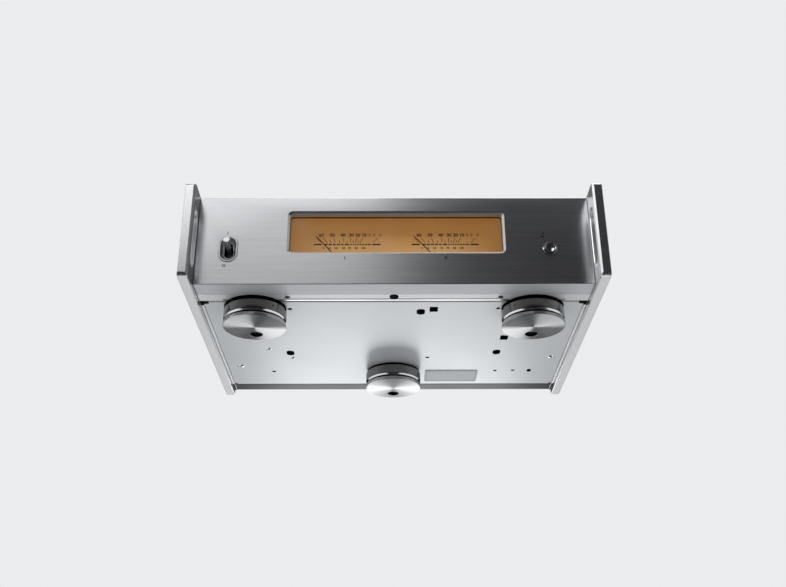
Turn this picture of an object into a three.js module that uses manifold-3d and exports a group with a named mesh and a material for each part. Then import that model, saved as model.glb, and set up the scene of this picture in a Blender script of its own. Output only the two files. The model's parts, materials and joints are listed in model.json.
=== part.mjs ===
// Compact stereo power amplifier with two needle meters and three pinpoint feet.
// Millimetres. +X is right as seen from the front, +Y runs to the rear, +Z is up.
// The origin is at floor level, under the middle of the outer box.
import * as THREE from 'three';
import { mergeVertices } from 'three/addons/utils/BufferGeometryUtils.js';
import Module from 'manifold-3d';

const wasm = await Module();
wasm.setup();

// Shared fits
const FIT = 0.3; // gap between two pieces that meet
const CUT = 3; // how far a cutter runs past what it cuts
const SHEET = 1.5; // sheet steel of the inner casing
const QUARTER_STEPS = 3; // faces in a rounded corner
const FOOT_SIDES = 28;
const ROUND_SIDES = 20; // a multiple of four, so that holes match what goes through them
const SMALL_SIDES = 12;

// Side plates
const WIDTH = 290;
const SIDE_THICKNESS = 7;
const SIDE_HEIGHT = 73.3;
const SIDE_LENGTH = 229;
const SIDE_CORNER_R = 3;
const SIDE_CHAMFER = 0.6;
const SIDE_OVERHANG = 3.4; // reach below the casing's underside
const SLOT_WIDTH = 11.5;
const SLOT_HEIGHT = 45;
const SLOT_FRONT_LAND = 5.2; // metal left in front of the finger slot
const SLOT_RISE = 13;

// Front panel
const FACE_SETBACK = 19.7; // behind the side plates' front ends
const PANEL_WALL = 5.7;
const PANEL_RETURN = 15.7; // depth of the folded top and bottom
const PANEL_RETURN_T = 3;
const PANEL_CHAMFER = 0.4;
// Free width left of the switch, then before the window, before the button and right of it
const FACE_GAP_SHARES = [15.7, 34, 25.8, 24.3];

// Meter window
const WINDOW_WIDTH = 153;
const WINDOW_HEIGHT = 34.2;
const WINDOW_CORNER_R = 3.6;
const WINDOW_BEVEL_WIDTH = 1.5;
const WINDOW_BEVEL_DEPTH = 0.9;
const LENS_THICKNESS = 1.5;
const LENS_LAND = 3; // lens edge behind the window's rim
const LENS_SETBACK = 3.9;
const WINDOW_GAP_SHARES = [23.8, 11.6]; // free height below and above

// Meters
const DIAL_SETBACK = 8;
const DIAL_THICKNESS = 1;
const DIAL_LAND = 3; // dial edge behind the window's rim
const METER_SPACING = 69.4;
const METER_WIDTH = 49;
const METER_HEADROOM = 12; // below the panel's folded top
const METER_DEPTH = 10.4;
const METER_FOOT_SHARE = 0.42748; // of the way from the panel's folded bottom to the pivot
const METER_CORNER_R = 4;
const METER_BORE_R = 1.1;
const METER_BORE_DEPTH = 3;
const NEEDLE_SETBACK = 6.4;
const NEEDLE_DROP = 7.7; // pivot below the window
const NEEDLE_LENGTH = 34;
const NEEDLE_TAIL = 6;
const NEEDLE_ROOT_W = 1;
const NEEDLE_TIP_W = 0.5;
const NEEDLE_TAIL_W = 1.6;
const NEEDLE_T = 0.5;
const NEEDLE_HUB_R = 2.2;
const NEEDLE_HUB_T = 1;
const NEEDLE_SHAFT_R = 0.8;
const NEEDLE_SHAFT_L = 4;
const NEEDLE_REST = THREE.MathUtils.degToRad(41); // left of upright with no signal

// Front board, behind the meters
const BOARD_T = 1.6;
const FRONT_BOARD_LAMP_LAND = 6; // board left of the last lamp
const FRONT_BOARD_KEY_LAND = 13.4; // board right of the key's axis
const FRONT_BOARD_RISE = 7;
const FRONT_BOARD_HEADROOM = 8.6; // below the top cover
const LAMP_WIDTH = 8;
const LAMP_HEIGHT = 9;
const LAMP_LIFT = 1.2; // middle of a lamp above the window's lower edge
const LAMP_GAP = 0.6; // lamp face to the back of the dial
const SPACER_R = 3;
const SPACER_EDGE = 6; // spacer axis to the board's edge
const KEY_SIZE = 6;
const KEY_HEIGHT = 4.6;
const KEY_PLUNGER_R = 1.6;
const KEY_PLUNGER_L = 1;

// Power switch
const SWITCH_GAP_SHARES = [17.4, 32]; // free height below and above
const SWITCH_WIDTH = 13;
const SWITCH_HEIGHT = 20.2;
const SWITCH_RIM = 1;
const SWITCH_PROUD = 0.5;
const SWITCH_DISH = 3.3;
const SWITCH_SLOT_W = 6.4;
const SWITCH_SLOT_H = 11.8;
const LEVER_PIVOT_SETBACK = 10;
const LEVER_LENGTH = 19.3; // pivot to tip
const LEVER_BALL_R = 3;
const LEVER_NECK_R = 1.7;
const LEVER_TIP_R = 2.4;
const LEVER_FLARE = 6.5; // length over which the bat widens
const LEVER_EDGE = 0.4;
const LEVER_TILT = THREE.MathUtils.degToRad(7.5); // above level when switched on
const SWITCH_BODY_W = 15;
const SWITCH_BODY_H = 22;
const SWITCH_BODY_D = 16;
const SWITCH_TERMINAL_W = 3;
const SWITCH_TERMINAL_L = 2.4;

// Meter button
const BUTTON_GAP_SHARES = [22.8, 37.2]; // free height below and above
const BUTTON_RING_R = 4.8;
const BUTTON_RING_WALL = 1;
const BUTTON_RING_PROUD = 0.6;
const BUTTON_R = 3.5;
const BUTTON_RECESS = 0.1;
const BUTTON_DISH = 0.6;
const BUTTON_LIP = 0.5;
const BUTTON_TRAVEL = 1.2;
const BUTTON_FLANGE_R = 4.6;
const BUTTON_FLANGE_T = 1;
const BUTTON_STEM_R = 1.5;

// Inner chassis
const CHASSIS_WALL_SETBACK = 24.9; // front wall behind the face
const CHASSIS_FLANGE_HOLE_R = 1.6;
const CHASSIS_FLANGE_HOLE_SHARE = 0.54466; // of the half width
const CHASSIS_TAB_HOLE = 3.4;
const CHASSIS_CABLE_W = 40;
const CHASSIS_CABLE_H = 12;
const RAIL_WALL = 2;
const RAIL_FLANGE = 14;

// Bottom plate
const PLATE_GAP = 2; // open seam in front of the bottom plate
const PLATE_NOTCH_X = 5.7;
const PLATE_NOTCH_Y = 1.5;
const PLATE_CUT_CORNER = 3;
const PLATE_SMALL_R = 1.5;
const PLATE_LARGE_R = 2.75;
const PLATE_TAB_LONG = 6.4;
const PLATE_TAB_SHORT = 4.8;
const PLATE_PEG = 3.4;
// Hole places as shares of the plate's half width and of its length, from the front edge
const SMALL_HOLE_SHARES = [[-0.554, 0.071], [0.555, 0.067], [-0.733, 0.821], [0.202, 0.636], [0.733, 0.811]];
const LARGE_HOLE_SHARES = [[-0.605, 0.578], [0.605, 0.569], [0.144, 0.103]];
const TAB_HOLE_SHARES = [[0.213, 0.077], [0.627, 0.392]];
const PEG_HOLE_SHARES = [[0.832, 0.812]];

// Rear panel and top cover
const REAR_INSET = 2.5; // rear panel inside the side plates' rear ends
const REAR_SEAM = 1.5; // open seam behind the bottom plate
const REAR_FLANGE = 14.2; // depth of the folded bottom
const REAR_LIFT = 0.8; // rear flange above the casing's underside
const COVER_T = 2;
const VENT_STEPS = 2;
const VENT_WIDTH = 3;
const VENT_LENGTH = 46;
const VENT_PITCH = 8;
const VENT_COUNT = 8;
const VENT_X_SHARE = 0.48657; // of the cover's half width
const VENT_Y_SHARE = 0.49266; // of the cover's length, from its front edge

// Feet
const FOOT_R = 22.5;
const FOOT_NECK_R = 18;
const FOOT_NECK_H = 2.2;
const FOOT_COLLAR_H = 7;
const FOOT_BEVEL = 1.3;
const FOOT_SLIT = 1.3; // dark gap above the disc
const FOOT_SKIRT = 2.2; // collar wall left around the hollow
const FOOT_HOLLOW_H = 3.5;
const FOOT_EDGE = 0.5;
const DISC_H = 2.8;
const DISC_BOSS_H = 3.2;
const DISC_BOSS_R = 18.3;
const POINT_ROOT_R = 3;
const POINT_TIP_R = 0.7;
const POINT_DEPTH = 1.5; // how far the point enters its dimple
const DIMPLE_R = 3;
const ACCESS_R = 4.65;
const ACCESS_OFFSET = 12.5; // behind the foot's axis
const DISC_WEB = 1.8;
const SCREW_SHANK_R = 1.6;
const SCREW_HEAD_R = 3.4;
const SCREW_HEAD_H = 1.6;
const SCREW_PLAY = 1; // screw head below the disc's web
const SCREW_THREAD_L = 3.2;
// Foot places as shares of the panel's half width and of the bottom plate's length
const FOOT_X_SHARE = 0.72404;
const FOOT_FRONT_SHARE = 0.07007;
const FOOT_REAR_SHARE = 0.82913;

// Rear connectors, from the left: free widths around inlet, posts, two balanced inputs and switch
const REAR_GAP_SHARES = [7.9, 18.6, 23.1, 7, 6.5, 1.9];

// Speaker posts
const POST_PITCH = 19;
const POST_PAIR_PITCH = 52;
const POST_GAP_SHARES = [18.6, 32.2]; // free height below and above
const POST_FLANGE_R = 8.4;
const POST_FLANGE_T = 4;
const POST_STUD_R = 3;
const POST_STUD_INSIDE = 9;
const POST_BORE_R = 2.1;
const CLAMP_R = 6;
const CLAMP_L = 4;
const KNOB_R = 7.4;
const KNOB_L = 13.6;
const KNOB_CAP = 1.6;
const KNOB_MOUTH_R = 2.6;
const KNOB_FLUTES = 12;
const KNOB_FLUTE_DEPTH = 0.7;

// Mains inlet
const INLET_GAP_SHARES = [26, 17.6]; // free height below and above
const INLET_FLANGE_W = 47;
const INLET_FLANGE_H = 24;
const INLET_FLANGE_T = 2.4;
const INLET_CORNER_R = 5;
const INLET_BODY_W = 29;
const INLET_BODY_H = 21;
const INLET_BODY_D = 20;
const INLET_MOUTH_W = 24.4;
const INLET_MOUTH_H = 16.4;
const INLET_MOUTH_CUT = 4.4; // slanted top corners of the mouth
const INLET_MOUTH_D = 17;
const INLET_PIN_W = 2;
const INLET_PIN_H = 4;
const INLET_PIN_PITCH = 7;
const INLET_PIN_STEP = 3.6; // middle pin above the outer two
const INLET_PIN_SHORT = 5; // pin tips inside the mouth

// Balanced inputs, each above a phono input
const INPUT_GAP_SHARES = [9.6, 8.1, 6.1]; // free height below, between and above
const XLR_FLANGE_W = 26;
const XLR_FLANGE_H = 31;
const XLR_FLANGE_T = 2;
const XLR_FLANGE_R = 3;
const XLR_BODY_R = 11.7;
const XLR_BODY_D = 18;
const XLR_GROOVE_OUT_R = 9.7;
const XLR_GROOVE_IN_R = 7.8;
const XLR_GROOVE_D = 12;
const XLR_HOLE_R = 1.3;
const XLR_HOLE_D = 9;
const XLR_HOLE_CIRCLE_R = 4;
const XLR_HOLE_ANGLES = [0, 180, 270];
const LATCH_W = 6;
const LATCH_H = 2.6;
const LATCH_L = 10;
const LATCH_RISE = 11.9; // above the socket's axis
const LATCH_PROUD = 2.2;
const LATCH_TRAVEL = 1.8;

// Phono inputs
const PHONO_FLANGE_R = 6.4;
const PHONO_FLANGE_T = 1.4;
const PHONO_BARREL_R = 4.15;
const PHONO_BARREL_L = 8;
const PHONO_BORE_R = 1.7;
const PHONO_BORE_D = 7;
const PHONO_BODY_R = 4.6;
const PHONO_BODY_L = 9;

// Slide switches
const SLIDE_BODY_L = 19;
const SLIDE_BODY_H = 8;
const SLIDE_BODY_D = 8;
const SLIDE_WINDOW_H = 4.6;
const SLIDE_POCKET_D = 4.5;
const SLIDER_L = 4.4;
const SLIDER_H = 4;
const SLIDER_REACH = 2; // beyond the rear panel
const INPUT_TRAVEL = 4;
const MODE_TRAVEL = 8;
const MODE_SWITCH_GAP = 4; // beside the inlet's body
const MODE_GAP_SHARES = [48, 11.6]; // free height below and above

// Trigger jack
const JACK_GAP = 7.6; // beside the left balanced input
const JACK_NUT_R = 5.4;
const JACK_NUT_T = 2;
const JACK_BARREL_R = 3.6;
const JACK_BARREL_L = 3.4;
const JACK_BORE_R = 1.8;
const JACK_BORE_D = 14;
const JACK_BODY_SIZE = 10;
const JACK_BODY_D = 13;

// Inside, from the left and from the front: free lengths around the pieces of each row
const MODULE_ROW_SHARES = [9.7, 38, 10, 5.7]; // transformer and two modules
const BOARD_ROW_SHARES = [28.7, 42, 0.7]; // supply board and line board
const POWER_COLUMN_SHARES = [29.6, 7, 22.3]; // transformer and supply board
const SIGNAL_COLUMN_SHARES = [13.6, 10, 27.3]; // modules and line board
const CORE_R = 36;
const CORE_BORE_R = 11;
const CORE_HEIGHT = 36;
const CORE_ROUND = 6;
const CORE_PLATE_R = 28;
const CORE_PLATE_T = 2;
const CORE_BOLT_R = 3;
const CORE_BOLT_HEAD_R = 6;
const CORE_BOLT_HEAD_H = 4;
const STANDOFF = 6;
const SUPPLY_W = 92;
const SUPPLY_D = 48;
const SUPPLY_CAP_R = 9;
const SUPPLY_CAP_H = 25;
const SUPPLY_CAP_COUNT = 3;
const MODULE_W = 56;
const MODULE_D = 88;
const SINK_W = 46;
const SINK_D = 62;
const SINK_BASE = 5;
const SINK_FIN_T = 1.8;
const SINK_FIN_H = 22;
const SINK_FIN_COUNT = 7;
const LINE_W = 96;
const LINE_D = 40;
const RELAY_W = 14;
const RELAY_H = 10;
const RELAY_COUNT = 3;

// Heights, from the floor up
const underZ = DISC_H + FOOT_SLIT + FOOT_BEVEL + FOOT_COLLAR_H + FOOT_NECK_H;
const sideZ0 = underZ - SIDE_OVERHANG;
const sideZ1 = sideZ0 + SIDE_HEIGHT;
const panelZ1 = sideZ1 - FIT;
const coverZ0 = panelZ1 - COVER_T;
const wallZ1 = coverZ0 - FIT;
const plateTopZ = underZ + SHEET;

// Depths, from the side plates' front ends to the speaker posts' rear ends
const postReach = FIT + POST_FLANGE_T + FIT + CLAMP_L + FIT + KNOB_L;
const depth = SIDE_LENGTH - REAR_INSET + postReach;
const frontY = -depth / 2;
const faceY = frontY + FACE_SETBACK;
const sideEndY = frontY + SIDE_LENGTH;
const rearY = sideEndY - REAR_INSET;
const chassisWallY = faceY + CHASSIS_WALL_SETBACK;
const railY0 = chassisWallY + SHEET + FIT;
const plateY0 = chassisWallY + SHEET + PLATE_GAP;
const rearFlangeY = rearY - REAR_FLANGE;
const plateY1 = rearFlangeY - REAR_SEAM;

// Widths, from the middle out
const insideX = WIDTH / 2 - SIDE_THICKNESS;
const panelX = insideX - FIT;
const plateX = panelX - RAIL_WALL - FIT;

// Middles of pieces in a row; the free length around them is shared out as the parts say
function spread([from, to], sizes, shares) {
  const sum = (values) => values.reduce((total, value) => total + value, 0);
  const free = (to - from - sum(sizes)) / sum(shares);
  return sizes.map((size, i) => (
    from + free * sum(shares.slice(0, i + 1)) + sum(sizes.slice(0, i)) + size / 2));
}

// Places on the front panel; heights count from the casing's underside
const [switchX, windowX, buttonX] = spread(
  [-panelX, panelX], [SWITCH_WIDTH, WINDOW_WIDTH, 2 * BUTTON_RING_R], FACE_GAP_SHARES);
const faceSpan = [0, panelZ1 - underZ];
const [windowMiddle] = spread(faceSpan, [WINDOW_HEIGHT], WINDOW_GAP_SHARES);
const [switchRise] = spread(faceSpan, [SWITCH_HEIGHT], SWITCH_GAP_SHARES);
const [buttonRise] = spread(faceSpan, [2 * BUTTON_RING_R], BUTTON_GAP_SHARES);
const windowRise = windowMiddle - WINDOW_HEIGHT / 2;
const needleRise = windowRise - NEEDLE_DROP;

// Places on the rear panel; heights count from the casing's underside
const postsWidth = POST_PAIR_PITCH + POST_PITCH + 2 * POST_FLANGE_R;
const [inletX, postsX, xlrLeftX, xlrRightX, inputSwitchX] = spread(
  [-plateX, plateX],
  [INLET_FLANGE_W, postsWidth, XLR_FLANGE_W, XLR_FLANGE_W, SLIDE_BODY_L],
  REAR_GAP_SHARES,
);
const modeBodyLength = SLIDE_BODY_L + MODE_TRAVEL - INPUT_TRAVEL;
const modeSwitchX = inletX + INLET_BODY_W / 2 + MODE_SWITCH_GAP + modeBodyLength / 2;
const jackX = xlrLeftX - XLR_FLANGE_W / 2 - JACK_GAP - JACK_NUT_R;
const rearSpan = [0, coverZ0 - underZ];
const [phonoRise, xlrRise] = spread(rearSpan, [2 * PHONO_FLANGE_R, XLR_FLANGE_H], INPUT_GAP_SHARES);
const [inletRise] = spread(rearSpan, [INLET_FLANGE_H], INLET_GAP_SHARES);
const [postRise] = spread(rearSpan, [2 * POST_FLANGE_R], POST_GAP_SHARES);
const [modeSwitchRise] = spread(rearSpan, [SLIDE_BODY_H], MODE_GAP_SHARES);

const AXES = {
  x: [new THREE.Vector3(0, 1, 0), new THREE.Vector3(0, 0, 1), new THREE.Vector3(1, 0, 0)],
  y: [new THREE.Vector3(1, 0, 0), new THREE.Vector3(0, 0, 1), new THREE.Vector3(0, -1, 0)],
  z: [new THREE.Vector3(1, 0, 0), new THREE.Vector3(0, 1, 0), new THREE.Vector3(0, 0, 1)],
};

const FINISHES = {
  brushedSilver: { color: 0xc9ccd1, roughness: 0.32, metalness: 1 },
  satinSilver: { color: 0xd6d9dc, roughness: 0.42, metalness: 1 },
  polished: { color: 0xe2e4e6, roughness: 0.14, metalness: 1 },
  steel: { color: 0xb4b8bc, roughness: 0.4, metalness: 1 },
  darkSteel: { color: 0x4a4e54, roughness: 0.5, metalness: 0.8 },
  gold: { color: 0xd6a94a, roughness: 0.25, metalness: 1 },
  amber: { color: 0xb8781f, roughness: 0.6, metalness: 0 },
  clear: { color: 0xf2f4f5, roughness: 0.05, metalness: 0, transparent: true, opacity: 0.3 },
  ink: { color: 0x14202e, roughness: 0.5, metalness: 0.2 },
  blackPlastic: { color: 0x17181a, roughness: 0.5, metalness: 0 },
  redPlastic: { color: 0xa01d1a, roughness: 0.4, metalness: 0 },
  whitePlastic: { color: 0xe4e4e0, roughness: 0.5, metalness: 0 },
  board: { color: 0x1d5a36, roughness: 0.6, metalness: 0 },
  copper: { color: 0xa8632f, roughness: 0.35, metalness: 0.9 },
};

// A closed geometry as a solid, with its faces turned outwards
function toSolid(geometry) {
  const bare = geometry.clone();
  for (const name of Object.keys(bare.attributes)) {
    if (name !== 'position') bare.deleteAttribute(name);
  }
  const merged = mergeVertices(bare);
  const corners = [];
  const [a, b, c] = [new THREE.Vector3(), new THREE.Vector3(), new THREE.Vector3()];
  let volume = 0;
  for (let i = 0; i < merged.index.count; i += 3) {
    const ids = [merged.index.getX(i), merged.index.getX(i + 1), merged.index.getX(i + 2)];
    if (new Set(ids).size < ids.length) continue;
    [a, b, c].forEach((point, k) => point.fromBufferAttribute(merged.attributes.position, ids[k]));
    volume += a.dot(b.cross(c));
    corners.push(...ids);
  }
  const outward = volume > 0 ? corners : corners.reverse();
  return new wasm.Manifold(new wasm.Mesh({
    numProp: 3,
    vertProperties: Float32Array.from(merged.attributes.position.array),
    triVerts: Uint32Array.from(outward),
  }));
}

function toGeometry(solid) {
  const mesh = solid.getMesh();
  const geometry = new THREE.BufferGeometry();
  geometry.setAttribute('position', new THREE.BufferAttribute(mesh.vertProperties, mesh.numProp));
  geometry.setIndex(new THREE.BufferAttribute(mesh.triVerts, 1));
  geometry.computeVertexNormals();
  return geometry;
}

const join = (first, ...others) => others.reduce((sum, solid) => sum.add(solid), first);
const cut = (first, ...others) => others.reduce((rest, solid) => rest.subtract(solid), first);

function block([x0, x1], [y0, y1], [z0, z1]) {
  const geometry = new THREE.BoxGeometry(x1 - x0, y1 - y0, z1 - z0);
  geometry.translate((x0 + x1) / 2, (y0 + y1) / 2, (z0 + z1) / 2);
  return toSolid(geometry);
}

const around = (middle, size) => [middle - size / 2, middle + size / 2];

// Corner points of a rounded rectangle, anticlockwise
function rounded(width, height, radius, x = 0, y = 0, steps = QUARTER_STEPS) {
  const points = [];
  for (let corner = 0; corner < 4; corner += 1) {
    const start = (corner * Math.PI) / 2;
    const sideX = corner === 0 || corner === 3 ? 1 : -1;
    const sideY = corner < 2 ? 1 : -1;
    for (let i = 0; i <= steps; i += 1) {
      const angle = start + (i / steps) * (Math.PI / 2);
      const point = new THREE.Vector2(
        x + sideX * (width / 2 - radius) + radius * Math.cos(angle),
        y + sideY * (height / 2 - radius) + radius * Math.sin(angle),
      );
      const last = points[points.length - 1];
      if (!last || last.distanceTo(point) > FIT / 100) points.push(point);
    }
  }
  if (points[0].distanceTo(points[points.length - 1]) < FIT / 100) points.pop();
  return points;
}

const circle = (radius, x = 0, y = 0, sides = SMALL_SIDES) => (
  rounded(radius * 2, radius * 2, radius, x, y, sides / 4));
const oval = (width, height, x = 0, y = 0) => rounded(width, height, Math.min(width, height) / 2, x, y);
const outline = (pairs) => pairs.map(([x, y]) => new THREE.Vector2(x, y));

// Turns the extrusion's own frame to run along an axis, and slides it there
function alongAxis(geometry, axis, from, to) {
  geometry.applyMatrix4(new THREE.Matrix4().makeBasis(...AXES[axis]));
  const shift = { x: [from, 0, 0], y: [0, to, 0], z: [0, 0, from] }[axis];
  return geometry.translate(...shift);
}

function prism(points, axis, from, to, holes = []) {
  const shape = new THREE.Shape(points);
  shape.holes = holes.map((hole) => new THREE.Path(hole));
  const geometry = new THREE.ExtrudeGeometry(shape, { depth: to - from, bevelEnabled: false });
  return toSolid(alongAxis(geometry, axis, from, to));
}

// A plate with a chamfer all round its edges and its holes
function chamferedPrism(points, axis, from, to, chamfer, holes = []) {
  const shape = new THREE.Shape(points);
  shape.holes = holes.map((hole) => new THREE.Path(hole));
  const geometry = new THREE.ExtrudeGeometry(shape, {
    depth: to - from - 2 * chamfer,
    bevelThickness: chamfer,
    bevelSize: chamfer,
    bevelOffset: -chamfer,
    bevelSegments: 1,
  });
  return toSolid(alongAxis(geometry, axis, from + chamfer, to - chamfer));
}

// A solid between two outlines with equal numbers of points, along Y
function taper(near, far, y0, y1) {
  const rings = [near.map((p) => [p.x, y0, p.y]), far.map((p) => [p.x, y1, p.y])];
  const count = near.length;
  const index = [];
  for (let i = 0; i < count; i += 1) {
    const next = (i + 1) % count;
    index.push(i, next, count + i, next, count + next, count + i);
  }
  for (let i = 1; i < count - 1; i += 1) {
    index.push(0, i + 1, i, count, count + i, count + i + 1);
  }
  const geometry = new THREE.BufferGeometry();
  geometry.setAttribute('position', new THREE.Float32BufferAttribute(rings.flat(2), 3));
  geometry.setIndex(index);
  return toSolid(geometry);
}

// A turned solid from [radius, height] pairs; a ring's profile closes on itself
function turned(profile, axis, sides = ROUND_SIDES) {
  const pairs = profile[0][0] > 0 ? [...profile, profile[0]] : profile;
  const geometry = new THREE.LatheGeometry(outline(pairs), sides);
  if (axis === 'z') geometry.rotateX(Math.PI / 2);
  return toSolid(geometry);
}

const rod = (radius, from, to, axis, sides = SMALL_SIDES) =>
  turned([[0, from], [radius, from], [radius, to], [0, to]], axis, sides);

const amplifier = new THREE.Group();

function assembly(x = 0, y = 0, z = 0) {
  const group = new THREE.Group();
  group.position.set(x, y, z);
  amplifier.add(group);
  return group;
}

function add(group, name, solid, finish) {
  const mesh = new THREE.Mesh(toGeometry(solid), new THREE.MeshStandardMaterial(FINISHES[finish]));
  mesh.name = name;
  group.add(mesh);
  return mesh;
}

// Side plates, each with a finger slot ahead of the front panel
function buildSidePlates() {
  const casing = assembly();
  const middleY = frontY + SIDE_LENGTH / 2;
  const middleZ = sideZ0 + SIDE_HEIGHT / 2;
  const edge = rounded(SIDE_LENGTH, SIDE_HEIGHT, SIDE_CORNER_R, middleY, middleZ);
  const slotY = frontY + SLOT_FRONT_LAND + SLOT_WIDTH / 2;
  const slotZ = sideZ0 + SLOT_RISE + SLOT_HEIGHT / 2;
  const slot = oval(SLOT_WIDTH, SLOT_HEIGHT, slotY, slotZ);
  const left = chamferedPrism(edge, 'x', -WIDTH / 2, -insideX, SIDE_CHAMFER, [slot]);
  const right = chamferedPrism(edge, 'x', insideX, WIDTH / 2, SIDE_CHAMFER, [slot]);
  add(casing, 'side_plate_left', left, 'satinSilver');
  add(casing, 'side_plate_right', right, 'satinSilver');
}

// Front panel, a channel with folded top and bottom
function buildFrontPanel() {
  const casing = assembly();
  const wallBack = faceY + PANEL_WALL;
  const returnBack = faceY + PANEL_RETURN;
  const channel = prism(outline([
    [faceY + PANEL_CHAMFER, underZ],
    [returnBack, underZ],
    [returnBack, underZ + PANEL_RETURN_T],
    [wallBack, underZ + PANEL_RETURN_T],
    [wallBack, panelZ1 - PANEL_RETURN_T],
    [returnBack, panelZ1 - PANEL_RETURN_T],
    [returnBack, panelZ1],
    [faceY + PANEL_CHAMFER, panelZ1],
    [faceY, panelZ1 - PANEL_CHAMFER],
    [faceY, underZ + PANEL_CHAMFER],
  ]), 'x', -panelX, panelX);
  const middle = [windowX, underZ + windowMiddle];
  const inner = [WINDOW_WIDTH - 2 * WINDOW_BEVEL_WIDTH, WINDOW_HEIGHT - 2 * WINDOW_BEVEL_WIDTH];
  const innerR = WINDOW_CORNER_R - WINDOW_BEVEL_WIDTH;
  const rim = rounded(WINDOW_WIDTH, WINDOW_HEIGHT, WINDOW_CORNER_R, ...middle);
  const opening = rounded(...inner, innerR, ...middle);
  const lens = [inner[0] + 2 * LENS_LAND, inner[1] + 2 * LENS_LAND];
  const seat = rounded(lens[0] + 2 * FIT, lens[1] + 2 * FIT, innerR, ...middle);
  const switchHole = oval(SWITCH_WIDTH + 2 * FIT, SWITCH_HEIGHT + 2 * FIT, switchX, underZ + switchRise);
  const buttonHole = circle(BUTTON_RING_R + FIT, buttonX, underZ + buttonRise, ROUND_SIDES);
  const panel = cut(
    channel,
    prism(opening, 'y', faceY - CUT, wallBack + CUT),
    taper(rim, opening, faceY, faceY + WINDOW_BEVEL_DEPTH),
    prism(seat, 'y', faceY + LENS_SETBACK, wallBack + CUT),
    prism(switchHole, 'y', faceY - CUT, wallBack + CUT),
    prism(buttonHole, 'y', faceY - CUT, wallBack + CUT),
  );
  add(casing, 'front_panel', panel, 'brushedSilver');
  const lensY = faceY + LENS_SETBACK + FIT / 2;
  const pane = prism(rounded(...lens, innerR, ...middle), 'y', lensY, lensY + LENS_THICKNESS);
  add(casing, 'meter_window', pane, 'clear');
}

// Dial plate, two moving-coil meters and their needles
function buildMeters() {
  const meters = assembly(windowX, faceY, underZ);
  const dialW = WINDOW_WIDTH + 2 * DIAL_LAND;
  const dialZ = [windowRise - DIAL_LAND, windowRise + WINDOW_HEIGHT + DIAL_LAND];
  const dial = block(around(0, dialW), [DIAL_SETBACK, DIAL_SETBACK + DIAL_THICKNESS], dialZ);
  add(meters, 'dial_plate', dial, 'amber');

  const bodyY = DIAL_SETBACK + DIAL_THICKNESS + FIT;
  const foot = PANEL_RETURN_T + METER_FOOT_SHARE * (needleRise - PANEL_RETURN_T);
  const head = panelZ1 - underZ - PANEL_RETURN_T - METER_HEADROOM;
  const case2d = rounded(METER_WIDTH, head - foot, METER_CORNER_R, 0, (foot + head) / 2);
  const arm = prism(outline([
    [-NEEDLE_TAIL_W / 2, -NEEDLE_TAIL],
    [NEEDLE_TAIL_W / 2, -NEEDLE_TAIL],
    [NEEDLE_ROOT_W / 2, 0],
    [NEEDLE_TIP_W / 2, NEEDLE_LENGTH],
    [-NEEDLE_TIP_W / 2, NEEDLE_LENGTH],
    [-NEEDLE_ROOT_W / 2, 0],
  ]), 'y', 0, NEEDLE_T);
  const hub = rod(NEEDLE_HUB_R, 0, NEEDLE_HUB_T, 'y');
  const shaft = rod(NEEDLE_SHAFT_R, 0, NEEDLE_HUB_T + NEEDLE_SHAFT_L, 'y');
  ['left', 'right'].forEach((side, i) => {
    const x = (i - 0.5) * METER_SPACING;
    const bore = rod(METER_BORE_R, -CUT, METER_BORE_DEPTH, 'y').translate(0, bodyY, needleRise);
    const body = cut(prism(case2d, 'y', bodyY, bodyY + METER_DEPTH), bore);
    add(meters, `meter_${side}`, body, 'blackPlastic').position.x = x;
    const needle = add(meters, `needle_${side}`, join(arm, hub, shaft), 'ink');
    needle.position.set(x, NEEDLE_SETBACK, needleRise);
    needle.rotation.y = -NEEDLE_REST;
  });
}

// Board behind the meters, with dial lamps and the key that the button presses
function buildFrontBoard() {
  const front = assembly(0, faceY, underZ);
  const lampFront = DIAL_SETBACK + DIAL_THICKNESS + LAMP_GAP;
  const boardY = DIAL_SETBACK + DIAL_THICKNESS + FIT + METER_DEPTH + FIT;
  const boardBack = boardY + BOARD_T;
  const boardZ = [FRONT_BOARD_RISE, coverZ0 - underZ - FRONT_BOARD_HEADROOM];
  const reach = METER_SPACING / 2 + METER_WIDTH / 2 + FIT + LAMP_WIDTH / 2;
  const boardX0 = windowX - reach - LAMP_WIDTH / 2 - FRONT_BOARD_LAMP_LAND;
  const boardX1 = buttonX + FRONT_BOARD_KEY_LAND;
  const board = block([boardX0, boardX1], [boardY, boardBack], boardZ);
  const lamps = [-reach, 0, reach].map((x) => block(
    around(windowX + x, LAMP_WIDTH),
    [lampFront, boardY + BOARD_T / 2],
    around(windowRise + LAMP_LIFT, LAMP_HEIGHT),
  ));
  const spacerX = [boardX0 + SPACER_EDGE, boardX1 - SPACER_EDGE];
  const spacerZ = [boardZ[0] + SPACER_EDGE, boardZ[1] - SPACER_EDGE];
  const spacers = spacerX.flatMap((x) => spacerZ.map((z) => rod(
    SPACER_R, boardY + BOARD_T / 2, CHASSIS_WALL_SETBACK - FIT, 'y',
  ).translate(x, 0, z)));
  const key = block(around(buttonX, KEY_SIZE), [boardY - KEY_HEIGHT, boardY + BOARD_T / 2],
    around(buttonRise, KEY_SIZE));
  const plungerTip = boardY - KEY_HEIGHT - KEY_PLUNGER_L;
  const plunger = rod(KEY_PLUNGER_R, plungerTip, boardY, 'y').translate(buttonX, 0, buttonRise);
  add(front, 'front_board', join(board, ...lamps, ...spacers, key, plunger), 'board');
  return plungerTip;
}

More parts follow.
